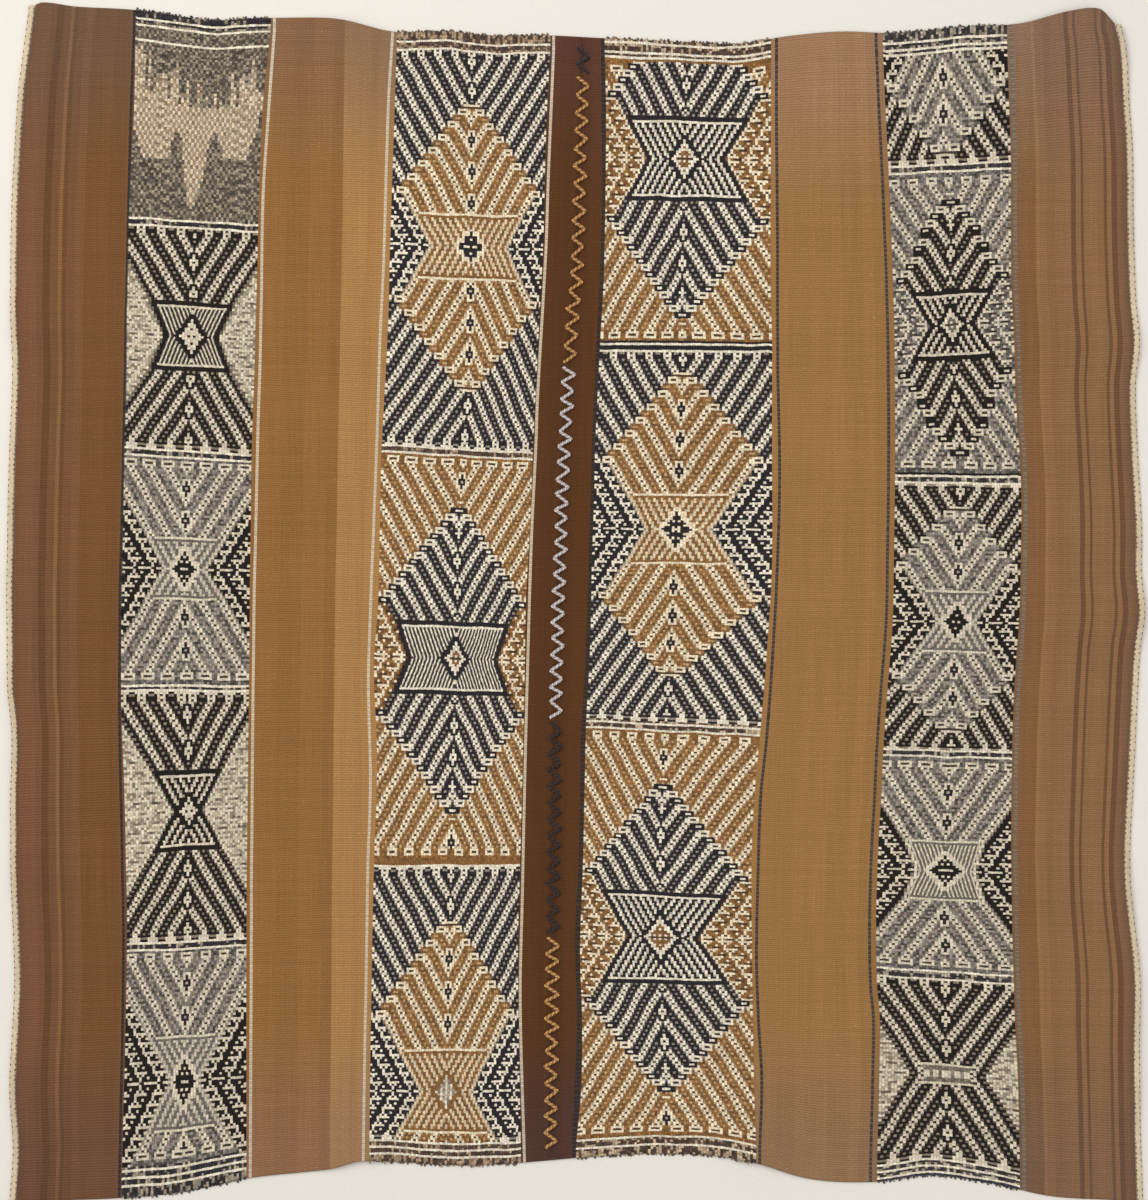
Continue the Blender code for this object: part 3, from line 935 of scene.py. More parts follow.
# The cream part of band A's first block, as its outline on the photograph (x, y)
START_CREAM = (
    (133, 66), (147, 62), (155, 70), (163, 78), (172, 86), (182, 92), (182, 104), (186, 106),
    (207, 106), (211, 104), (222, 92), (236, 86), (248, 78), (262, 62), (263, 100), (259, 128),
    (252, 144), (246, 159), (224, 159), (221, 146), (217, 134), (213, 132), (208, 150),
    (203, 178), (195, 200), (190, 208), (186, 200), (184, 176), (182, 140), (178, 130), (174, 134),
    (168, 158), (142, 158), (138, 140), (131, 120),
)
START_BOTTOM = 222
START_DRIPS = 108
DRIP_REACH = 28.0
START_GREY = ((86, 77, 68), (146, 133, 115))
START_PALE = ((156, 135, 110), (212, 193, 165))
START_SLIP = 0.3
START_FADED = 0.16
D_DARK_END = 1173
D_END_BLUE = (54, 54, 66)
A_DIM_END = 28
LIT_SHARE = 0.5
LIT_SHARE_DIM = 0.2
LIT_SHARE_BAR = 0.27


def inside_outline(outline, x, y):
    """Which points lie inside a closed outline."""
    inside = np.zeros(x.shape, dtype=bool)
    for (x1, y1), (x2, y2) in zip(outline, outline[1:] + outline[:1]):
        if y1 == y2:
            continue
        crosses = (y1 > y) != (y2 > y)
        inside ^= crosses & (x < (x2 - x1) * (y - y1) / (y2 - y1) + x1)
    return inside


def paint_start(cloth, pixel_x, pixel_y):
    """Band A begins with an irregular block: speckled grey, with a cream part that drips."""
    block = pixel_y < START_BOTTOM
    columns = cloth.colour.shape[1]
    start = np.arange(columns) * 2 + (cloth.random.random(columns) < START_SLIP)
    long_float = (cloth.row + start[None, :]) % 4 < 2
    faded = cloth.random.uniform(0.0, 1.0, cloth.row.shape) < START_FADED
    cloth.fill(block, START_GREY[0], 0.2)
    cloth.fill(block & (long_float ^ faded), START_GREY[1], 0.2)
    wander = cloth.random.uniform(-DRIP_REACH, DRIP_REACH, columns)
    top_part = pixel_y < START_DRIPS
    shifted_y = np.where(top_part, pixel_y + wander[None, :], pixel_y)
    cream = inside_outline(START_CREAM, pixel_x, shifted_y)
    cloth.fill(cream, START_PALE[0], 0.12)
    cloth.fill(cream & (long_float ^ (faded & top_part)), START_PALE[1], 0.06)


def weave_band(name, pixel_x, pixel_y, random):
    """All the cells of one band: colours, kinds and fine-line places."""
    rows, columns = pixel_x.shape
    cloth = Cloth(name, rows, columns, random)
    cloth.dashes(np.ones((rows, columns), dtype=bool), LIT_SHARE)
    axis = columns // 2
    centre_line = pixel_y[:, axis]

    def row_of(y):
        inner = np.interp(y, centre_line, np.arange(rows))
        before = min(0.0, y - centre_line[0]) / PICK_PIXELS
        after = max(0.0, y - centre_line[-1]) / PICK_PIXELS
        return int(round(inner + before + after))

    if name == "band_a":
        paint_start(cloth, pixel_x, pixel_y)
        cloth.dashes(cloth.row < row_of(A_DIM_END), LIT_SHARE_DIM)
    if name == "band_d":
        cloth.fill(cloth.row > row_of(D_DARK_END), D_END_BLUE, 0.3)
    for block in BLOCKS[name]:
        paint_block(cloth, block, axis, row_of)
    for y, thick, colour in CROSS_LINES[name]:
        line_row = row_of(y)
        mask = (cloth.row >= line_row) & (cloth.row < line_row + thick)
        if colour == BAR:
            cloth.dashes(mask, LIT_SHARE_BAR)
        else:
            cloth.fill(mask, colour, 0.05)
    return cloth


# Strips whose yarn is twisted from a light and a dark ply
TWISTED = {"white_line": 0.07, "grey_line": 0.28, "navy_line": 0.22, "grey_stripe": 0.12}
TWIST_PICKS = 1
TWIST_SLIP = 0.12
STREAK = 0.03
TOP_HAZE = 0.16
BOTTOM_HAZE = (0.86, 0.12)


def plain_colours(name, rows, count, random):
    """Colours of a plain strip: three tones along it, with soft lengthwise streaks."""
    top, middle, bottom = (np.array(tone, dtype=float) for tone in PLAIN_COLOURS[name])
    share = np.linspace(0.0, 1.0, rows)[:, None, None]
    near_top = 1.0 - smooth_step(share / TOP_HAZE)
    near_bottom = smooth_step((share - BOTTOM_HAZE[0]) / BOTTOM_HAZE[1])
    tone = middle + (top - middle) * near_top + (bottom - middle) * near_bottom
    streak = 1.0 + random.uniform(-STREAK, STREAK, (1, count, 1))
    if name in TWISTED:
        start = np.cumsum(random.random(rows) < TWIST_SLIP)
        dark_ply = (np.arange(rows) + start) % (2 * TWIST_PICKS) < TWIST_PICKS
        streak = streak * (1.0 - TWISTED[name] * dark_ply[:, None, None])
    return tone * streak


def soft_noise(shape, step, random):
    """Smooth random values from -1 to 1, that change over some cells each way."""
    rows, columns = shape
    coarse = random.uniform(-1.0, 1.0, (rows // step + 2, columns // step + 2))
    down = np.arange(rows) / step
    over = np.arange(columns) / step
    strips = np.array([np.interp(down, np.arange(coarse.shape[0]), line) for line in coarse.T])
    return np.array([np.interp(over, np.arange(coarse.shape[1]), line) for line in strips.T])


# How far a crossing of warp and weft wanders, in pixels: each one alone, and with its neighbours
ALONE_WANDER = 0.30
SHARED_WANDER = 0.85
SHARED_STEP = 7


def loosen(across, along, faces, random):
    """Lets the crossings inside the pattern bands wander a little, as handwoven ones do."""
    for name in dict.fromkeys(faces):
        if not name.startswith("band"):
            continue
        cells = [index for index, face in enumerate(faces) if face == name]
        inner = slice(cells[0] + 1, cells[-1] + 1)
        shape = across[1:-1, inner].shape
        for places in (across, along):
            places[1:-1, inner] += PIXEL * ALONE_WANDER * random.uniform(-1.0, 1.0, shape)
            places[1:-1, inner] += PIXEL * SHARED_WANDER * soft_noise(shape, SHARED_STEP, random)


def make_panel(name, strips, pitch, lean, ruler_guide, seed):
    """One loom panel, woven pick by pick: a closed sheet with its own folds."""
    random = np.random.default_rng(seed)
    across, along, faces, rows = lay_grid(strips, pitch, lean, ruler_guide)
    face_rows = rows - 1
    colours = np.zeros((face_rows, len(faces), 3))
    patterned = np.zeros((face_rows, len(faces)))
    lines = np.zeros(across.shape)
    pixel_x = MIDDLE_PIXEL_X + (across[:-1, :-1] + across[:-1, 1:]) / 2.0 / PIXEL
    pixel_y = MIDDLE_PIXEL_Y - (along[:-1, :-1] + along[1:, :-1]) / 2.0 / PIXEL
    for strip_name in dict.fromkeys(faces):
        cells = np.where(np.array(faces) == strip_name)[0]
        if strip_name.startswith("band"):
            cloth = weave_band(strip_name, pixel_x[:, cells], pixel_y[:, cells], random)
            colours[:, cells] = cloth.colour
            patterned[:, cells] = cloth.kind
            lines[:, cells[0]:cells[-1] + 2] = cloth.lines
        else:
            colours[:, cells] = plain_colours(strip_name, face_rows, len(cells), random)
    loosen(across, along, faces, random)
    light = linear(np.clip(colours, 0, 255))
    return build_sheet(name, across, along, light, patterned, lines)


# The sheets' mesh: how far light yarn stands proud, the underside's width of cells, and the parts
# of the bake's square that hold the top and the underside
WEAVE_HEIGHT = 0.00016
BRIGHT_SHARE = 1.6
UNDERSIDE_STEP = 0.022
TOP_UV = 0.8
LOW_UV = 0.18


def spaced_columns(across):
    """Every column line that is a short step on from the one kept before it, and the last."""
    kept = [0]
    last = across.shape[1] - 1
    middle = across[across.shape[0] // 2]
    for column in range(1, last):
        if middle[column + 1] - middle[kept[-1]] > UNDERSIDE_STEP:
            kept.append(column)
    return kept + [last]


def sheet_points(across, along, light, kept):
    """The top's points, where light yarn stands proud, and then the underside's."""
    base = lift_at(across, along)
    brightness = np.pad(light.mean(axis=2), 1, mode="edge")
    around = (brightness[1:, 1:] + brightness[:-1, 1:]
              + brightness[1:, :-1] + brightness[:-1, :-1]) / 4.0
    weave_lift = WEAVE_HEIGHT * np.clip(around * BRIGHT_SHARE, 0.0, 1.0)
    top = base + CLOTH_THICKNESS + crease_at(across, along) + weave_lift
    top_points = np.stack([across, along, top], axis=-1).reshape(-1, 3)
    low_points = np.stack([across[:, kept], along[:, kept], base[:, kept]], axis=-1)
    return np.concatenate([top_points, low_points.reshape(-1, 3)])


def quads(*corners):
    return np.stack(corners, axis=-1).reshape(-1, 4)


def sheet_faces(rows, columns, kept):
    """Quads of the top, the underside and both sides, then the many-sided faces of the ends."""
    few = len(kept)
    above = np.arange(rows * columns).reshape(rows, columns)
    below = rows * columns + np.arange(rows * few).reshape(rows, few)
    faces = np.concatenate([
        quads(above[:-1, :-1], above[1:, :-1], above[1:, 1:], above[:-1, 1:]),
        quads(below[:-1, :-1], below[:-1, 1:], below[1:, 1:], below[1:, :-1]),
        quads(above[:-1, 0], below[:-1, 0], below[1:, 0], above[1:, 0]),
        quads(above[:-1, -1], above[1:, -1], below[1:, -1], below[:-1, -1]),
    ]).tolist()
    for piece in range(few - 1):
        span = slice(kept[piece], kept[piece + 1] + 1)
        top_end = [*above[0, span], below[0, piece + 1], below[0, piece]]
        low_end = [*above[-1, span][::-1], below[-1, piece], below[-1, piece + 1]]
        faces += [[int(point) for point in end] for end in (top_end, low_end)]
    return faces


def mark_corners(mesh, points, light, patterned):
    """Each face corner's dye and kind of weave, and its place in the bake's square."""
    chart = np.zeros((len(mesh.loops), 4))
    chart[:, :3] = light.reshape(-1, 3).mean(axis=0)
    cells = np.concatenate([light.reshape(-1, 3), patterned.reshape(-1, 1) / 2.0], axis=1)
    top = len(cells) * 4
    chart[:top] = np.repeat(cells, 4, axis=0)
    set_chart(mesh, chart)
    corner = np.zeros(len(mesh.loops), dtype=np.int32)
    mesh.loops.foreach_get("vertex_index", corner)
    flat = points[:, :2]
    share = ((flat - flat.min(axis=0)) / (flat.max(axis=0) - flat.min(axis=0)))[corner]
    uv = share * np.array([1.0, TOP_UV]) + np.array([0.0, 1.0 - TOP_UV])
    uv[top:] = share[top:] * np.array([1.0, LOW_UV])
    layer = mesh.uv_layers.new(name="OFBake")
    layer.data.foreach_set("uv", uv.reshape(-1).astype(np.float32))
    mesh.polygons.foreach_set("use_smooth", np.arange(len(mesh.polygons)) < len(cells))


def build_sheet(name, across, along, light, patterned, lines):
    """A closed sheet with a fine top, an underside of wider cells, and the chart on both."""
    rows, columns = across.shape
    kept = spaced_columns(across)
    points = sheet_points(across, along, light, kept)
    mesh = bpy.data.meshes.new(name)
    mesh.from_pydata(points.tolist(), [], sheet_faces(rows, columns, kept))
    mesh.validate()
    mark_corners(mesh, points, light, patterned)
    row, column = np.mgrid[0:rows, 0:columns]
    weave = np.stack([column, row, lines], axis=-1)
    under = weave[:, kept] * np.array([1.0, 1.0, 0.0])
    weave = np.concatenate([weave.reshape(-1, 3), under.reshape(-1, 3)])
    attribute = mesh.attributes.new("weave", "FLOAT_VECTOR", "POINT")
    attribute.data.foreach_set("vector", weave.reshape(-1).astype(np.float32))
    return add_object(name, mesh)


# Materials

class Nodes:
    """Short calls for the shader nodes of one material."""

    def __init__(self, name):
        self.material = bpy.data.materials.new(name)
        self.material.use_nodes = True
        self.tree = self.material.node_tree
        self.shader = self.tree.nodes["Principled BSDF"]

    def link(self, value, socket):
        if isinstance(value, bpy.types.NodeSocket):
            self.tree.links.new(value, socket)
        else:
            socket.default_value = value

    def math(self, operation, first, second=0.0, third=0.0):
        node = self.tree.nodes.new("ShaderNodeMath")
        node.operation = operation
        for socket, value in zip(node.inputs, (first, second, third)):
            self.link(value, socket)
        return node.outputs[0]

    def plus(self, first, second):
        return self.math("ADD", first, second)

    def minus(self, first, second):
        return self.math("SUBTRACT", first, second)

    def times(self, first, second):
        return self.math("MULTIPLY", first, second)

    def from_middle(self, value):
        """How far a value is from the middle of its cell, in cells."""
        return self.math("ABSOLUTE", self.minus(self.math("FRACT", value), 0.5))

    def rounding(self, value, power):
        """Rises from 0 in the middle of each cell to 1 at its edges."""
        return self.math("POWER", self.times(self.from_middle(value), 2.0), power)

    def attribute(self, name):
        node = self.tree.nodes.new("ShaderNodeAttribute")
        node.attribute_name = name
        return node.outputs

    def split(self, vector):
        node = self.tree.nodes.new("ShaderNodeSeparateXYZ")
        self.link(vector, node.inputs[0])
        return node.outputs

    def join(self, x, y, z):
        node = self.tree.nodes.new("ShaderNodeCombineXYZ")
        for socket, value in zip(node.inputs, (x, y, z)):
            self.link(value, socket)
        return node.outputs[0]

    def place(self):
        node = self.tree.nodes.new("ShaderNodeTexCoord")
        return node.outputs["Object"]

    def noise(self, vector, scale, detail=2.0, roughness=0.5):
        node = self.tree.nodes.new("ShaderNodeTexNoise")
        self.link(vector, node.inputs["Vector"])
        node.inputs["Scale"].default_value = scale
        node.inputs["Detail"].default_value = detail
        node.inputs["Roughness"].default_value = roughness
        return node.outputs["Fac"]

    def spread(self, value, low, high):
        """Takes a value from 0 to 1 onto low to high."""
        node = self.tree.nodes.new("ShaderNodeMapRange")
        node.clamp = False
        self.link(value, node.inputs["Value"])
        node.inputs["To Min"].default_value = low
        node.inputs["To Max"].default_value = high
        return node.outputs[0]

    def scale(self, colour, factor):
        node = self.tree.nodes.new("ShaderNodeVectorMath")
        node.operation = "SCALE"
        self.link(colour, node.inputs[0])
        self.link(factor, node.inputs["Scale"])
        return node.outputs[0]

    def bump(self, height, distance, strength=1.0):
        node = self.tree.nodes.new("ShaderNodeBump")
        self.link(height, node.inputs["Height"])
        node.inputs["Distance"].default_value = distance
        node.inputs["Strength"].default_value = strength
        self.link(node.outputs[0], self.shader.inputs["Normal"])

    def dye(self, colour, tone):
        """Sets the base colour to a colour times a tone."""
        self.link(self.scale(colour, tone), self.shader.inputs["Base Color"])

    def finish(self, roughness, sheen):
        self.shader.inputs["Roughness"].default_value = roughness
        self.shader.inputs["Sheen Weight"].default_value = sheen
        self.shader.inputs["Sheen Roughness"].default_value = 0.5
        self.shader.inputs["Specular IOR Level"].default_value = 0.2
        return self.material


# Painted shade in the wool's colour, partly the dark yarn that shows between: how dark the gaps are
# between warp columns, at the ends of floats and between weft ribs
GROOVE_SHADE = 0.28
FLOAT_SHADE = 0.22
RIB_SHADE = 0.38
LINE_HALF_WIDTH = 0.295

# Streaks in the yarn: scale across and along, detail, lowest and highest tone
WARP_STREAK = (700.0, 9.0, 2.0, 0.84, 1.16)
WEFT_STREAK = (5.0, 430.0, 1.0, 0.88, 1.12)
GRAIN_SCALE = (1100.0, 650.0, 2.0)
GRAIN_TONES = (0.52, 1.48)
FLECK_SCALE = (330.0, 520.0, 0.0)
FLECK_LIMIT = 0.78
FLECK_LIGHT = 0.35
BLOTCH_SCALE = 9.0
BLOTCH_TONES = (0.92, 1.08)
# Tone before the painted shade is taken off, a little higher for plain strips
LEVEL = 1.03
PLAIN_LEVEL = 0.06
WOOL_BUMP = 0.00035
YARN_GRAIN = 1300.0
YARN_TONES = (0.72, 1.28)
YARN_BUMP = 0.0002


def panel_wool(name):
    """Warp-faced wool: rounded warp columns, weft ribs, streaks, mottling and fine hairs; painted shade
    in the gaps.
    """
    n = Nodes(name)
    chart = n.attribute("chart")
    column, pick, line_place = n.split(n.attribute("weave")["Vector"])
    place = n.place()
    where = n.split(place)
    patterned = n.math("MINIMUM", n.times(chart["Alpha"], 2.0), 1.0)
    lined = n.math("MAXIMUM", n.minus(n.times(chart["Alpha"], 4.0), 3.0), 0.0)
    plain = n.minus(1.0, patterned)

    parity = n.times(n.math("FLOOR", column), 0.5)
    float_end = n.rounding(n.plus(n.times(pick, 0.5), parity), 3.0)
    cell = n.plus(n.times(n.rounding(column, 2.0), GROOVE_SHADE), n.times(float_end, FLOAT_SHADE))
    rib = n.times(n.rounding(pick, 2.0), RIB_SHADE)
    # Painted shade: grooves and float ends in the bands, rib gaps in the plain strips; it darkens the
    # colour and also drives the bump
    shade = n.plus(n.times(cell, patterned), n.times(rib, plain))
    line_dark = n.math("LESS_THAN", n.from_middle(line_place), LINE_HALF_WIDTH)
    line_tone = n.minus(1.0, n.times(line_dark, lined))

    def stretched(across_scale, along_scale, detail):
        vector = n.join(n.times(where[0], across_scale), n.times(where[1], along_scale), 0.0)
        return n.noise(vector, 1.0, detail)

    def streak(across_scale, along_scale, detail, low, high):
        return n.spread(stretched(across_scale, along_scale, detail), low, high)

    grain = stretched(*GRAIN_SCALE)
    fleck = n.math("GREATER_THAN", stretched(*FLECK_SCALE), FLECK_LIMIT)
    level = n.plus(n.times(plain, PLAIN_LEVEL), LEVEL)
    tone = n.times(streak(*WARP_STREAK), streak(*WEFT_STREAK))
    for part in (
        n.spread(n.noise(place, BLOTCH_SCALE, 3.0), *BLOTCH_TONES),
        n.spread(grain, *GRAIN_TONES),
        n.minus(level, shade),
        n.plus(n.times(fleck, FLECK_LIGHT), 1.0),
        line_tone,
    ):
        tone = n.times(tone, part)
    n.dye(chart["Color"], tone)
    n.bump(n.minus(n.times(grain, 0.5), shade), WOOL_BUMP)
    return n.finish(0.88, 0.1)


def chart_wool(name):
    """Wool whose dyes are in the piece's own chart, with grain and mottling."""
    n = Nodes(name)
    grain = n.noise(n.place(), YARN_GRAIN, 3.0)
    n.dye(n.attribute("chart")["Color"], n.spread(grain, *YARN_TONES))
    n.bump(grain, YARN_BUMP)
    return n.finish(0.86, 0.15)


# Bindings

BINDING_STEP = 0.0010
BINDING_SIDES = 12
BINDING_INSET = 0.0002
BINDING_ENDS = (0.59, -0.59)
RIB_LENGTH = 0.0021
RIB_DEPTH = 0.05
SCALLOP_LENGTH = 0.0056
SCALLOP_DEPTH = 0.00045
BINDING_CREAM = (208, 190, 160)
BINDING_MOTTLE = 0.14
BINDING_DRIFT = 0.10
DRIFT_STEP = 40


def make_tube(name, rings, colours):
    """A closed tube through rings of points: (steps, sides, 3) places and face colours."""
    steps, sides = rings.shape[:2]
    point = np.arange(steps * sides).reshape(steps, sides)
    following = np.roll(point, -1, axis=1)
    wall = quads(point[:-1], point[1:], following[1:], following[:-1])
    ends = [point[0].tolist(), point[-1, ::-1].tolist()]
    mesh = bpy.data.meshes.new(name)
    mesh.from_pydata(rings.reshape(-1, 3).tolist(), [], wall.tolist() + ends)
    chart = np.ones((len(mesh.loops), 4))
    chart[:len(wall) * 4, :3] = np.repeat(colours.reshape(-1, 3), 4, axis=0)
    chart[len(wall) * 4:, :3] = colours.reshape(-1, 3).mean(axis=0)
    set_chart(mesh, chart)
    mesh.shade_smooth()
    return add_object(name, mesh)


def directions(path):
    """Unit directions along a path of points."""
    tangent = np.gradient(path, axis=0)
    return tangent / np.linalg.norm(tangent, axis=1)[:, None]


def rings_along(path, side, up, radius, sides):
    """A ring of points around each point of a path."""
    angle = np.linspace(0.0, 2.0 * math.pi, sides, endpoint=False)[:, None]
    return path[:, None] + radius * (side[:, None] * np.cos(angle) + up[:, None] * np.sin(angle))


def squared_off(values, power):
    """The sines or cosines of a ring, pushed out towards its corners."""
    return np.sign(values) * np.abs(values) ** power


def binding_rings(along, centre, base, inward):
    """Rings of a flat tube with fine ribs, scalloped along its inner edge."""
    angle = np.linspace(0.0, 2.0 * math.pi, BINDING_SIDES, endpoint=False)
    outline_x = squared_off(np.cos(angle), 0.7)
    outline_z = squared_off(np.sin(angle), 0.6)
    rib = 1.0 + RIB_DEPTH * np.sin(along / RIB_LENGTH * 2.0 * math.pi)
    scallop = SCALLOP_DEPTH * np.abs(np.sin(along / SCALLOP_LENGTH * math.pi))
    x = centre[:, None] + outline_x[None, :] * (BINDING_WIDTH / 2.0 - BINDING_INSET)
    x[:, outline_x * inward > 0.6] -= inward * scallop[:, None]
    z = base[:, None] + BINDING_HEIGHT * 0.5 * (1.0 + outline_z[None, :] * rib[:, None] * 0.95)
    y = np.repeat(along[:, None], BINDING_SIDES, axis=1)
    rings = np.stack([x, y, np.maximum(z, base[:, None])], axis=-1)
    return rings[:, ::-1] if inward > 0 else rings


def make_binding(name, is_left, seed):
    """A woven edge band, mottled and stitched along its edges."""
    random = np.random.default_rng(seed)
    side = LEFT_SIDE if is_left else RIGHT_SIDE
    inward = 1.0 if is_left else -1.0
    top, bottom = (
        float(smooth_read(end, side_at(side, place) + inward * BINDING_WIDTH))
        for end, place in zip((TOP_END, BOTTOM_END), BINDING_ENDS))
    along = np.arange(top, bottom, -BINDING_STEP)
    centre = side_at(side, along) + inward * BINDING_WIDTH / 2.0
    base = lift_at(side_at(side, along) + inward * BINDING_WIDTH, along)
    rings = binding_rings(along, centre, base, inward)
    steps = len(along) - 1
    mottle = 1.0 + random.uniform(-BINDING_MOTTLE, BINDING_MOTTLE, (steps, BINDING_SIDES, 1))
    stations = np.arange(0, steps + DRIFT_STEP, DRIFT_STEP)
    drift = 1.0 + random.uniform(-BINDING_DRIFT, BINDING_DRIFT, len(stations))
    slow = np.interp(np.arange(steps), stations, drift)
    colours = np.tile(linear(BINDING_CREAM), (steps, BINDING_SIDES, 1))
    colours = colours * mottle * slow[:, None, None]
    stitch_edges(colours, rings, centre, base, inward, random)
    return make_tube(name, rings, colours)


# Dark stitches that hold a binding: steps between them on its outer and its inner edge
OUTER_STITCH = (6, 9)
INNER_STITCH = (4, 7)
STITCH_DARK = (92, 52, 44)
STITCH_BROWN = (122, 88, 62)
STITCH_PLACE = 0.62
STITCH_HEIGHT = 0.35
TONE_SPREAD = (0.8, 1.2)


def stitch_edges(colours, rings, centre, base, inward, random):
    """Small dark stitches along both edges of a binding."""
    beside = (rings + np.roll(rings, -1, axis=1))[:-1] / 2.0
    place = (beside[:, :, 0] - centre[:-1, None]) * inward / (BINDING_WIDTH / 2.0)
    raised = beside[:, :, 2] - base[:-1, None] > BINDING_HEIGHT * STITCH_HEIGHT
    for gaps, edge, shade in (
        (OUTER_STITCH, place < -STITCH_PLACE, STITCH_DARK),
        (INNER_STITCH, place > STITCH_PLACE, STITCH_BROWN),
    ):
        step = 2
        while step < len(colours) - 2:
            for part in (step, step + 1):
                tone = linear(shade) * random.uniform(*TONE_SPREAD)
                colours[part][edge[part] & raised[part]] = tone
            step += int(random.integers(*gaps))


# Zigzag seam

PLY_SIDES = 6
PLY_TURN = 0.0046
PLY_SHARE = 0.94
PLY_OFFSET = 0.62
YARN_FLATTEN = 0.74
YARN_MOTTLE = 0.18
STITCH_REACH = (0.74, 0.98)
STITCH_SLIP = 0.0011
STITCH_STEPS = 26
STITCH_ROUND = 0.35
UPRIGHT = np.array([0.0, 0.0, 1.0])


def make_seam_yarn(yarn, material, random):
    """One length of the zigzag stitching: a two-ply yarn that crosses the seam and back."""
    swing = ZIGZAG_WIDTH / 2.0
    top = yarn.top - YARN_END_GAP / 2.0
    bottom = yarn.bottom + YARN_END_GAP / 2.0
    turns = max(2, round((top - bottom) / (yarn.pitch / 2.0)))
    count = turns * STITCH_STEPS + 1
    position = np.linspace(0.0, turns, count)
    wave = 1.0 - 2.0 * np.abs(position % 2.0 - 1.0)
    wave = np.sin(wave * math.pi / 2.0) * STITCH_ROUND + wave * (1.0 - STITCH_ROUND)
    corner = np.arange(turns + 1)
    reach = np.interp(position, corner, random.uniform(*STITCH_REACH, turns + 1))
    slip = np.interp(position, corner, random.uniform(-1.0, 1.0, turns + 1) * STITCH_SLIP)
    slip *= smooth_step(position) * smooth_step(turns - position)
    along = top + (bottom - top) * position / turns + slip
    across = side_at(SEAM, along) + swing * wave * reach
    height = CLOTH_THICKNESS + PIECE_GAP + YARN_RADIUS
    path = np.stack([across, along, np.full(count, height)], axis=-1)
    tangent = directions(path)
    side = np.cross(tangent, UPRIGHT)
    up = np.cross(side, tangent) * YARN_FLATTEN
    run = np.concatenate([[0.0], np.cumsum(np.linalg.norm(np.diff(path, axis=0), axis=1))])
    tubes = []
    # The gold and white yarns' second ply carries painted shade between the plies
    for ply, shade in enumerate((yarn.colour, yarn.other)):
        twist = (run / PLY_TURN * 2.0 * math.pi + ply * math.pi)[:, None]
        centre = path + YARN_RADIUS * PLY_OFFSET * (side * np.cos(twist) + up * np.sin(twist))
        rings = rings_along(centre, side, up, YARN_RADIUS * PLY_SHARE, PLY_SIDES)
        colours = np.tile(linear(shade), (count - 1, PLY_SIDES, 1))
        colours = colours * (1.0 + random.uniform(-YARN_MOTTLE, YARN_MOTTLE, (count - 1, PLY_SIDES, 1)))
        tubes.append(make_tube(f"{yarn.name}_ply_{ply + 1}", rings, colours))
    return join_pieces(yarn.name, tubes, material)


def join_pieces(name, parts, material):
    """Joins mesh objects into one piece."""
    bpy.ops.object.select_all(action="DESELECT")
    for part in parts:
        part.select_set(True)
    bpy.context.view_layer.objects.active = parts[0]
    bpy.ops.object.join()
    joined = bpy.context.view_layer.objects.active
    joined.name = name
    joined.data.name = name
    joined.data.materials.clear()
    joined.data.materials.append(material)
    return joined


# Warp loops at the ends of the bands

LOOP_STEP = 0.0023
LOOP_RADIUS = 0.00045
LOOP_SIDES = 4
LOOP_POINTS = 6
LOOP_REACH = (0.0008, 0.0034)
LOOP_SPREAD = 0.0016
LOOP_SLIP = 0.3
LOOP_LIGHT_SHARE = 0.4
LOOP_BANDS = (
    ("band_a", BAND_A_LEFT, BAND_A_RIGHT),
    ("band_b", BAND_B_LEFT, BAND_B_RIGHT),
    ("band_c", BAND_C_LEFT, BAND_C_RIGHT),
    ("band_d", BAND_D_LEFT, BAND_D_RIGHT),
)


def one_loop(across, end, outward, random):
    """The rings of one short loop of warp that sticks out past the cloth's end."""
    turn = np.linspace(0.0, math.pi, LOOP_POINTS)
    reach = random.uniform(*LOOP_REACH)
    lean = random.uniform(-1.0, 1.0) * LOOP_SPREAD
    x = across - np.cos(turn) * LOOP_SPREAD / 2.0 + np.sin(turn) * lean
    y = end + outward * (np.sin(turn) * reach - LOOP_RADIUS)
    z = lift_at(x, np.full(LOOP_POINTS, end)) + CLOTH_THICKNESS / 2.0
    path = np.stack([x, y, z], axis=-1)
    side = np.cross(directions(path), UPRIGHT)
    up = np.tile(UPRIGHT, (LOOP_POINTS, 1))
    return rings_along(path, side, up, LOOP_RADIUS, LOOP_SIDES)


def make_warp_loops(random):
    """All the loops, as one piece."""
    loops = []
    for name, left, right in LOOP_BANDS:
        for ends, outward in ((TOP_END, 1.0), (BOTTOM_END, -1.0)):
            place = px_along(RULER_TOP if outward > 0 else RULER_BOTTOM)
            first = float(guide_at(left, place)) + LOOP_STEP
            last = float(guide_at(right, place)) - LOOP_STEP
            for across in np.arange(first, last, LOOP_STEP):
                across += random.uniform(-LOOP_SLIP, LOOP_SLIP) * LOOP_STEP
                rings = one_loop(across, float(smooth_read(ends, across)), outward, random)
                dye = linear(END_DASHES[name][int(random.random() < LOOP_LIGHT_SHARE)])
                tone = dye * random.uniform(*TONE_SPREAD)
                shades = np.tile(tone, (LOOP_POINTS - 1, LOOP_SIDES, 1))
                loops.append(make_tube(f"warp_loop_{len(loops) + 1}", rings, shades))
    return join_pieces("warp_loops", loops, chart_wool("warp_loop_wool"))


# Camera, light and floor

FLOOR_HALF = 20.0
FLOOR_COLOUR = (236, 231, 223)
WORLD_COLOUR = (1.0, 0.99, 0.97, 1.0)
WORLD_STRENGTH = 0.57

Light = namedtuple("Light", "name energy place size colour")
LIGHTS = (
    Light("window", 57.0, (-1.6, 1.5, 2.6), 2.4, (1.0, 0.985, 0.96)),
    Light("fill", 16.0, (1.8, -0.8, 2.2), 2.6, (0.97, 0.98, 1.0)),
)


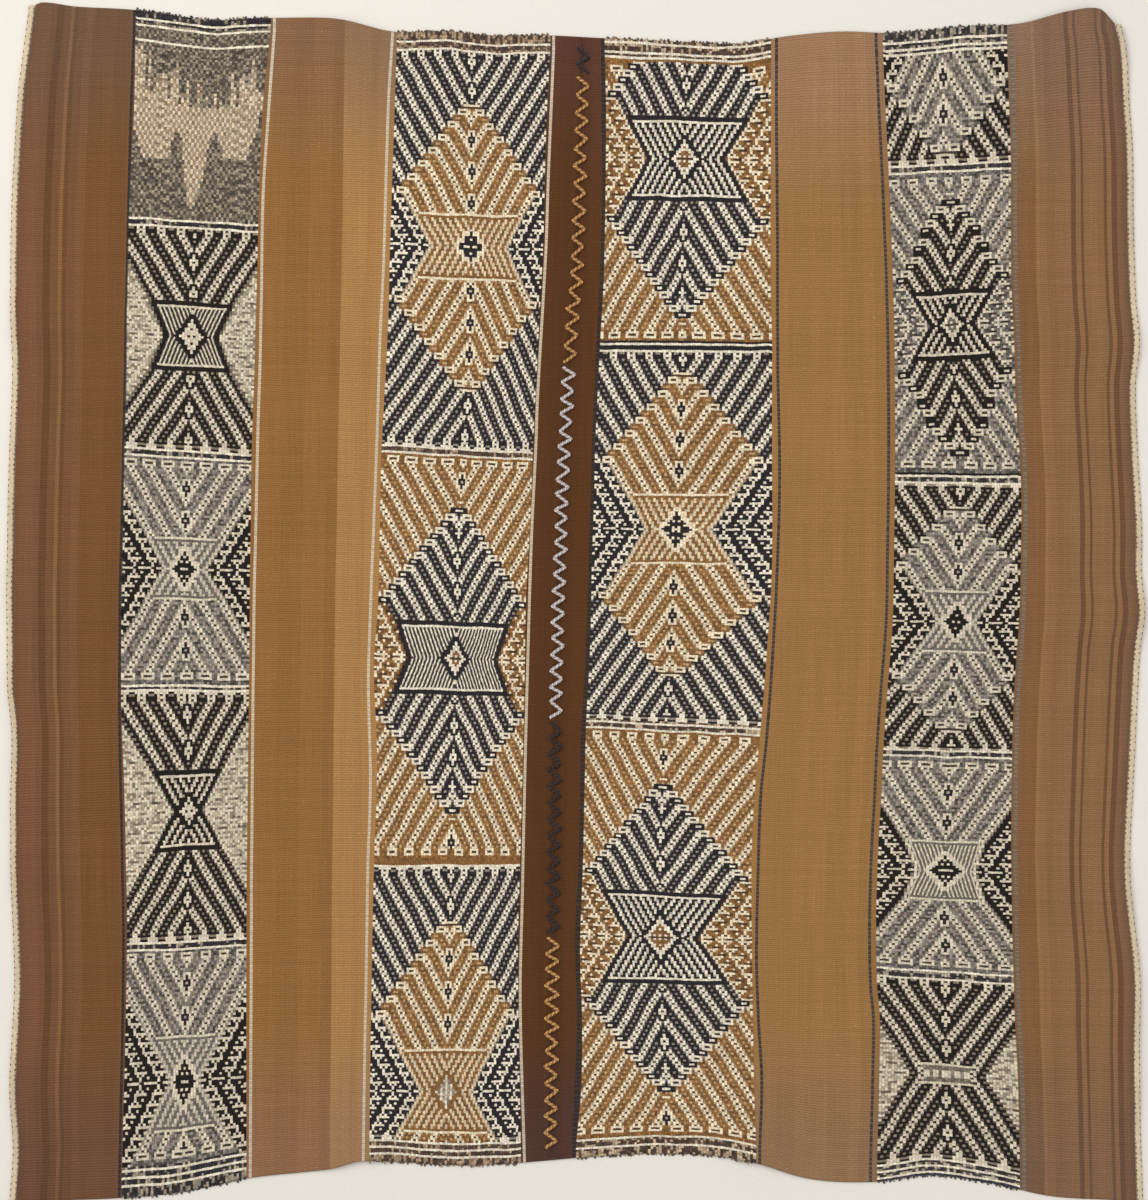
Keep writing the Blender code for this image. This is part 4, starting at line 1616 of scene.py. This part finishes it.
def add_camera():
    data = bpy.data.cameras.new("camera")
    data.lens = LENS
    data.sensor_width = SENSOR
    camera = add_object("camera", data)
    height = PHOTO_HEIGHT * PIXEL * LENS / SENSOR + CLOTH_THICKNESS
    camera.location = (px_across(PHOTO_WIDTH / 2), px_along(PHOTO_HEIGHT / 2), height)
    bpy.context.scene.camera = camera


def add_light(light):
    data = bpy.data.lights.new(light.name, "AREA")
    data.energy = light.energy
    data.color = light.colour
    data.shape = "SQUARE"
    data.size = light.size
    lamp = add_object(light.name, data)
    lamp.location = light.place
    lamp.rotation_euler = (-Vector(light.place)).to_track_quat("-Z", "Y").to_euler()


def add_floor():
    corners = [(-FLOOR_HALF, -FLOOR_HALF, 0), (FLOOR_HALF, -FLOOR_HALF, 0),
               (FLOOR_HALF, FLOOR_HALF, 0), (-FLOOR_HALF, FLOOR_HALF, 0)]
    mesh = bpy.data.meshes.new("floor")
    mesh.from_pydata(corners, [], [(0, 1, 2, 3)])
    floor = add_object("floor", mesh)
    n = Nodes("floor_felt")
    fuzz = n.noise(n.place(), 240.0, 3.0)
    base = n.join(*[float(part) for part in linear(FLOOR_COLOUR)])
    n.dye(base, n.spread(fuzz, 0.97, 1.03))
    mesh.materials.append(n.finish(0.95, 0.0))


def set_world():
    world = bpy.data.worlds.new("room")
    bpy.context.scene.world = world
    world.use_nodes = True
    background = world.node_tree.nodes["Background"]
    background.inputs["Color"].default_value = WORLD_COLOUR
    background.inputs["Strength"].default_value = WORLD_STRENGTH


def dress(piece, slot, *nodes):
    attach(piece, "root")
    if nodes:
        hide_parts(*nodes)


def add_panels():
    left = make_panel("left_cloth", left_strips(), PITCH_LEFT, LEAN_LEFT, line(BAND_B_AXIS), SEED)
    right = make_panel(
        "right_cloth", right_strips(), PITCH_RIGHT, LEAN_RIGHT, line(BAND_C_AXIS), SEED + 1)
    wool = panel_wool("panel_wool")
    for piece, node, flat, area in (
        (left, "left_panel", (0.562, 1.195), 0.630),
        (right, "right_panel", (0.598, 1.195), 0.648),
    ):
        piece.data.materials.append(wool)
        dress(piece, "panel_wool", node)


def add_bindings():
    edge_wool = chart_wool("binding_wool")
    for name, is_left, node in (
        ("left_edge_band", True, "left_binding"),
        ("right_edge_band", False, "right_binding"),
    ):
        band = make_binding(name, is_left, SEED + 2 + is_left)
        band.data.materials.append(edge_wool)
        dress(band, "binding_wool", node)


def add_seam_yarns(random):
    slots = {"dark": "dark_yarn", "gold": "gold_yarn", "white": "white_yarn"}
    for yarn in SEAM_YARNS:
        shade = yarn.name.split("_")[2]
        thread = make_seam_yarn(yarn, chart_wool(yarn.name + "_wool"), random)
        thread.name = yarn.name + "_stitching"
        dress(thread, slots[shade], yarn.name)


def main():
    bpy.context.scene.view_settings.view_transform = "Standard"
    set_world()
    add_camera()
    add_floor()
    for light in LIGHTS:
        add_light(light)
    add_panels()
    add_bindings()
    random = np.random.default_rng(SEED + 5)
    add_seam_yarns(random)
    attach(make_warp_loops(random), "root")


main()
